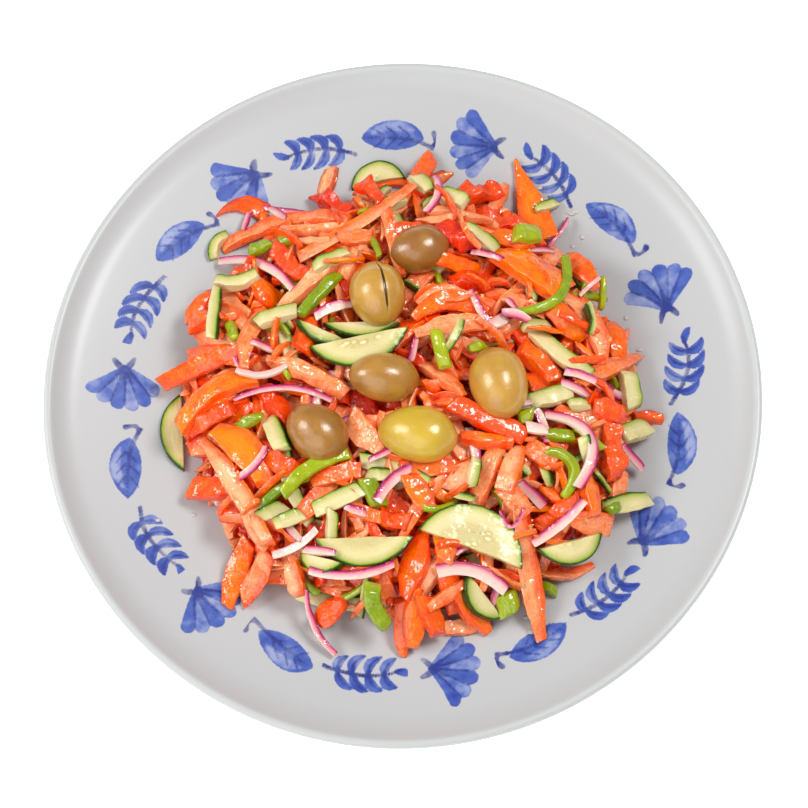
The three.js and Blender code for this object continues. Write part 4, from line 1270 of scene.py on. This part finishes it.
def add_scattered(name, draw, scrap, material):
    """Adds small pieces that lie in the gaps of the heap, each turned and leaned its own way, as one mesh."""
    count = scrap.count
    local = scrap_points(draw, scrap.half, scrap.uneven, count)
    yaw = draw.uniform(0, 2 * np.pi, count)
    lean = draw.normal(0, 0.5, count)
    along = np.stack([np.cos(yaw) * np.cos(lean), np.sin(yaw) * np.cos(lean), np.sin(lean)], -1)
    across = np.stack([-np.sin(yaw), np.cos(yaw), np.zeros(count)], -1)
    axes = np.stack([along, across, np.cross(along, across)], 1)
    spots = settle(draw, heap()[1], count, 0.4)
    points = above_glaze((local @ axes + spots[:, None, :]).reshape(-1, 3))
    offset = draw.uniform(0, 300, (count, 1, 1))
    tone = np.clip(scrap.tone + draw.normal(0, 0.25, count), 0, 1)
    fields = {
        "skin_depth": np.full(len(points), NO_SKIN),
        "tone": np.repeat(tone, local.shape[1]),
        # Scraps lie in the gaps and get a moderate painted shade all over.
        "edge": np.full(len(points), 0.35),
        "place": (local + offset).reshape(-1, 3),
    }
    make_piece(name, points, repeated_faces(count), fields, material, "cut_vegetables")


class SALAD_OT_scraps(bpy.types.Operator):
    """Adds the small scraps of tomato and pulp and the flecks of herb between the pieces"""

    bl_idname = "salad.scraps"
    bl_label = "Scraps"

    def execute(self, context):
        for index, (name, scrap) in enumerate(SCRAPS.items()):
            add_scattered(name, np.random.default_rng(40 + index), scrap, food_material(scrap.material))
        return {"FINISHED"}


class SALAD_OT_seeds(bpy.types.Operator):
    """Adds the tomato seeds that lie on the heap, flat ovals about 3 mm long"""

    bl_idname = "salad.seeds"
    bl_label = "Seeds"

    count: count_setting("Seeds", "Number of tomato seeds", 110)

    def execute(self, context):
        seed = Scrap(self.count, (1.5, 1.1, 0.45), 0.06, 0.5, None)
        add_scattered("tomato_seeds", np.random.default_rng(51), seed, seed_material())
        return {"FINISHED"}


# Middles in mm of the places where juice has dripped on the plate.
DRIPS = [(69, 58), (67, 70), (94, 16), (76, 64), (60, 78), (-98, -30), (40, -88)]


def juice_material():
    """A drop of juice on the glaze: water with a trace of tomato, smooth and glossy. So small and flat a drop
    shows the glaze through it, and a solid grey near the glaze's own gives the same look."""
    material, _, shader = new_material("juice")
    join(shader, {"Base Color": linear("#B9B4B2"), "Roughness": 0.05, "IOR": 1.33})
    return material


class SALAD_OT_drops(bpy.types.Operator):
    """Adds the drops of juice on the plate, in pairs round each place where it has dripped"""

    bl_idname = "salad.drops"
    bl_label = "Drops of juice"

    group: count_setting("Drops", "Drops at each place", 2)
    spread: size_setting("Spread", "How far the drops of a place lie apart", 5.0)

    def execute(self, context):
        draw = np.random.default_rng(61)
        count = self.group * len(DRIPS)
        drops = scrap_points(draw, (1.2, 1.0, 0.3), 0.1, count)
        spots = np.repeat(DRIPS, self.group, axis=0) + draw.normal(0, self.spread, (count, 2))
        heights = plate_top(np.hypot(*spots.T)) + FILM
        points = (drops + np.column_stack([spots, heights])[:, None, :]).reshape(-1, 3)
        make_piece("juice_drops", points, repeated_faces(count), {}, juice_material(), "cut_vegetables")
        return {"FINISHED"}


def seed_material():
    """Tomato seed: a pale straw-coloured oval with short down, in a clear wet coat of gel."""
    material, tree, shader = new_material("tomato_seed")
    place = add_node(tree, "Attribute", output="Vector", attribute_name="place")
    down = add_node(tree, "TexNoise", {"Vector": place, "Scale": 1.6, "Detail": 2.0})
    straw = [(0.3, linear("#F0B260")), (0.7, linear("#FFE2A6"))]
    join(shader, {"Base Color": add_node(tree, "ValToRGB", {"Fac": down}, stops=straw), "Roughness": 0.3})
    join(shader, {"Coat Weight": 0.9, "Coat Roughness": 0.06})
    join(shader, {"Subsurface Weight": 0.3, "Subsurface Scale": 1.0 * MM})
    return material


# ---- Olives ----------------------------------------------------------------------------------------------

# Yaw and pitch in radians, length and width in mm as in the solids, tone and the angle where the slit is.
Olive = collections.namedtuple("Olive", "yaw pitch length width tone slit")
OLIVES = {
    "olive_1": Olive(1.65, 0.12, 25.0, 21.0, 0.45, 1.86),
    "olive_2": Olive(-0.16, -0.2, 26.5, 18.0, 0.7, None),
    "olive_3": Olive(1.7, -0.1, 28.0, 21.5, 0.4, None),
    "olive_4": Olive(-0.26, 0.1, 29.5, 20.5, 0.1, None),
    "olive_5": Olive(-0.75, -0.15, 25.0, 20.0, 0.85, None),
    "olive_6": Olive(0.15, 0.1, 24.0, 18.0, 0.95, None),
}


def olive_material():
    """A brined green olive: a smooth skin with a waxy gloss, khaki to yellow-green, mottled and browner
    towards its ends, with a shallow slit where it was cracked, whose near-black colour is painted shade
    inside the crack."""
    colours = bpy.context.scene.salad_olives
    material, tree, shader = new_material("olive_skin")
    spot = add_node(tree, "TexCoord", output="Object")
    tone = add_node(tree, "Attribute", output="Fac", attribute_name="tone")
    slit = add_node(tree, "Attribute", output="Fac", attribute_name="slit")
    cloud = add_node(tree, "TexNoise", {"Vector": spot, "Scale": per_metre(7.692), "Detail": 5.0})
    shade = add_node(tree, "Math", {0: cloud, 1: 0.7, 2: tone}, operation="MULTIPLY_ADD")
    centred = add_node(tree, "Math", {0: shade, 1: -0.35}, operation="ADD")
    stops = [(0.0, linear(colours.green)), (0.45, linear(colours.tan)), (1.0, linear(colours.brown))]
    skin = add_node(tree, "ValToRGB", {"Fac": centred}, stops=stops)
    # Painted shade: the slit's near-black colour stands for the shade inside the crack.
    cut = {"Factor": slit, 6: skin, 7: linear(colours.slit)}
    dents = add_node(tree, "TexNoise", {"Vector": spot, "Scale": per_metre(3.846), "Detail": 4.0})
    bump = add_node(tree, "Bump", {"Height": dents, "Strength": 0.32, "Distance": 1.6 * MM})
    join(shader, {"Base Color": add_node(tree, "Mix", cut, output=2, data_type="RGBA"), "Normal": bump})
    join(shader, {"Roughness": 0.3, "IOR": 1.45, "Coat Weight": 0.8, "Coat Roughness": 0.26})
    join(shader, {"Subsurface Weight": 0.45, "Subsurface Scale": 3.0 * MM})
    join(shader, {"Subsurface Radius": (1.0, 0.6, 0.25)})
    return material


class SALAD_OT_olives(bpy.types.Operator):
    """Adds the olives on top of the heap"""

    bl_idname = "salad.olives"
    bl_label = "Olives"

    rings: count_setting("Rings", "Rings from end to end", 60)
    segments: count_setting("Segments", "Steps round an olive", 72)

    def execute(self, context):
        material = olive_material()
        for name in OLIVE_NODES:
            self.add_olive(name, OLIVES[name], material)
        return {"FINISHED"}

    def add_olive(self, name, olive, material):
        """An ellipsoid whose waist is a little full towards one end and whose other end is drawn in, turned
        into its node's place. Its steps round are closer at the slit: an angle t moves back by
        0.85 sin(t - slit)."""
        polar = np.linspace(0, np.pi, self.rings + 2)[1:-1]
        turn = np.linspace(0, 2 * np.pi, self.segments, endpoint=False)
        if olive.slit is not None:
            turn = turn - 0.85 * np.sin(turn - olive.slit)
        unit = ellipsoid(polar, turn, np.sin(polar) * (1 - 0.05 * np.cos(polar)))
        size = np.array([olive.length, olive.width, olive.width]) / 2
        shape = unit * size * (0.985 + 0.012 * ripple(unit, 1.6, int(name[-1]))[:, None])
        shape[:, 1:] *= 1 - 0.16 * smooth_step(0.55, 1.0, unit[:, :1])
        slit = np.zeros(len(unit))
        if olive.slit is not None:
            around = np.arctan2(unit[:, 2], unit[:, 1])
            off = np.abs(around - olive.slit - 0.1 * unit[:, 0] ** 2) * olive.width / 2
            # The slit's mask sinks the skin a little, and the material paints the crack's shade by it.
            slit = smooth_step(0.6, 0.3, off) * smooth_step(-0.75, -0.5, unit[:, 0])
            shape *= 1 - 0.08 * slit[:, None]
        turned = Matrix.Rotation(olive.yaw, 3, "Z") @ Matrix.Rotation(-olive.pitch, 3, "Y")
        points = shape @ np.array(turned).T + box_mm(name).mean(axis=0)
        fields = {"tone": olive.tone + 0.25 * np.abs(unit[:, 0]) ** 3, "slit": slit}
        faces = tube_faces(self.rings, self.segments)
        make_piece(f"{name}_skin", points, faces, fields, material, "olive", [name])


# ---- The slice that lies apart ---------------------------------------------------------------------------


class SALAD_OT_side_slice(bpy.types.Operator):
    """Adds the cucumber slice that lies apart on the plate"""

    bl_idname = "salad.side_slice"
    bl_label = "Side slice"

    def execute(self, context):
        low, high = box_mm("cucumber_slice_side")
        start = (high[0] - 0.8, high[1] - 0.3)
        end = (high[0] - 1.6, low[1] + 0.3)
        depth = high[0] - low[0] - 1.6
        draw = np.random.default_rng(5)
        points, fields = lay_piece(Heights(), draw, "moon", end, start, depth, 0.0, 0.4)
        material = food_material("cut_cucumber")
        make_piece("cucumber_slice_apart", points, tube_faces(RINGS, AROUND), fields, material, "cucumber",
                   ["cucumber_slice_side"])
        return {"FINISHED"}


# ---- Stage -------------------------------------------------------------------------------------------------


def camera_axes(stage):
    """The camera's right, up and back directions: it looks from the front, then rolls about its view."""
    back = Vector((0, -math.cos(stage.elevation), math.sin(stage.elevation)))
    right = Vector((1, 0, 0))
    up = back.cross(right)
    turned_right = math.cos(stage.roll) * right + math.sin(stage.roll) * up
    turned_up = math.cos(stage.roll) * up - math.sin(stage.roll) * right
    return turned_right, turned_up, back


# Where each softbox hangs and its side, in metres.
SOFTBOXES = {
    "right": ((0.46, 0.1, 0.88), 0.3),
    "left": ((-0.7, 0.1, 0.7), 0.4),
    "fill": ((-0.4, -0.62, 0.58), 0.9),
}
FLOOR_HALF = 3
SENSOR_WIDTH = 36.0


class SALAD_OT_stage(bpy.types.Operator):
    """Adds the floor, the softboxes and the camera"""

    bl_idname = "salad.stage"
    bl_label = "Stage"

    target: bpy.props.FloatVectorProperty(
        name="Target", description="Point that the camera looks at", default=(0.0005, -0.0038, 0.012),
        unit="LENGTH",
    )

    def execute(self, context):
        stage = context.scene.salad_stage
        self.add_floor(stage)
        self.add_sky(context.scene, stage)
        for name, (place, size) in SOFTBOXES.items():
            self.add_softbox("softbox_" + name, place, size, getattr(stage, name + "_power"))
        self.add_camera(context.scene, stage)
        context.scene.view_settings.view_transform = "Standard"
        return {"FINISHED"}

    def add_floor(self, stage):
        """A wide plain floor that glows a little, so that it stays white under the soft light."""
        corners = [(x * FLOOR_HALF, y * FLOOR_HALF, 0) for x, y in ((-1, -1), (1, -1), (1, 1), (-1, 1))]
        mesh = bpy.data.meshes.new("floor")
        mesh.from_pydata(corners, [], [(0, 1, 2, 3)])
        material, _, shader = new_material("pale_floor")
        colour = linear(stage.floor)
        join(shader, {"Base Color": colour, "Roughness": 0.8})
        join(shader, {"Emission Color": colour, "Emission Strength": 0.6})
        mesh.materials.append(material)
        floor = bpy.data.objects.new("floor", mesh)
        bpy.context.scene.collection.objects.link(floor)

    def add_sky(self, scene, stage):
        """An even white surround."""
        world = bpy.data.worlds.new("soft_surround")
        world.use_nodes = True
        background = world.node_tree.nodes["Background"]
        background.inputs["Color"].default_value = (1, 1, 1, 1)
        background.inputs["Strength"].default_value = stage.sky_strength
        scene.world = world

    def add_softbox(self, name, place, size, power):
        """A square area light that faces the plate."""
        light = bpy.data.lights.new(name, "AREA")
        light.size = size
        light.energy = power
        lamp = bpy.data.objects.new(name, light)
        lamp.location = place
        lamp.rotation_euler = Vector(place).to_track_quat("Z", "Y").to_euler()
        bpy.context.scene.collection.objects.link(lamp)

    def add_camera(self, scene, stage):
        """A long lens that looks steeply down at the plate."""
        camera = bpy.data.cameras.new("camera")
        camera.lens = stage.lens
        camera.sensor_width = SENSOR_WIDTH
        view = bpy.data.objects.new("camera", camera)
        right, up, back = camera_axes(stage)
        turn = Matrix((right, up, back)).transposed()
        place = Vector(self.target) + back * stage.distance
        view.matrix_world = Matrix.Translation(place) @ turn.to_4x4()
        scene.collection.objects.link(view)
        scene.camera = view


# ---- Panel and registration -----------------------------------------------------------------------------

GROUPS = {
    "salad_plate": PlateSettings,
    "salad_heap": HeapSettings,
    "salad_olives": OliveSettings,
    "salad_stage": StageSettings,
}

OPERATORS = (
    SALAD_OT_plate,
    SALAD_OT_core,
    SALAD_OT_tomato,
    SALAD_OT_cucumber,
    SALAD_OT_pepper,
    SALAD_OT_onion,
    SALAD_OT_scraps,
    SALAD_OT_seeds,
    SALAD_OT_drops,
    SALAD_OT_side_slice,
    SALAD_OT_olives,
    SALAD_OT_stage,
)


class SALAD_PT_panel(bpy.types.Panel):
    """Lists the settings and a button for each group of pieces"""

    bl_idname = "SALAD_PT_panel"
    bl_label = "Salad"
    bl_space_type = "VIEW_3D"
    bl_region_type = "UI"
    bl_category = "Salad"

    def draw(self, context):
        for group, settings in GROUPS.items():
            column = self.layout.box().column()
            for name in settings.__annotations__:
                column.prop(getattr(context.scene, group), name)
        for operator in OPERATORS:
            self.layout.operator(operator.bl_idname)


CLASSES = (*GROUPS.values(), *OPERATORS, SALAD_PT_panel)


def register():
    """Registers the classes and hangs the settings on the scene."""
    for cls in CLASSES:
        bpy.utils.register_class(cls)
    for group, settings in GROUPS.items():
        setattr(bpy.types.Scene, group, bpy.props.PointerProperty(type=settings))


def unregister():
    """Takes everything back."""
    for group in GROUPS:
        delattr(bpy.types.Scene, group)
    for cls in reversed(CLASSES):
        bpy.utils.unregister_class(cls)


def main():
    register()
    for operator in OPERATORS:
        group, action = operator.bl_idname.split(".")
        getattr(getattr(bpy.ops, group), action)()


if __name__ == "__main__":
    main()
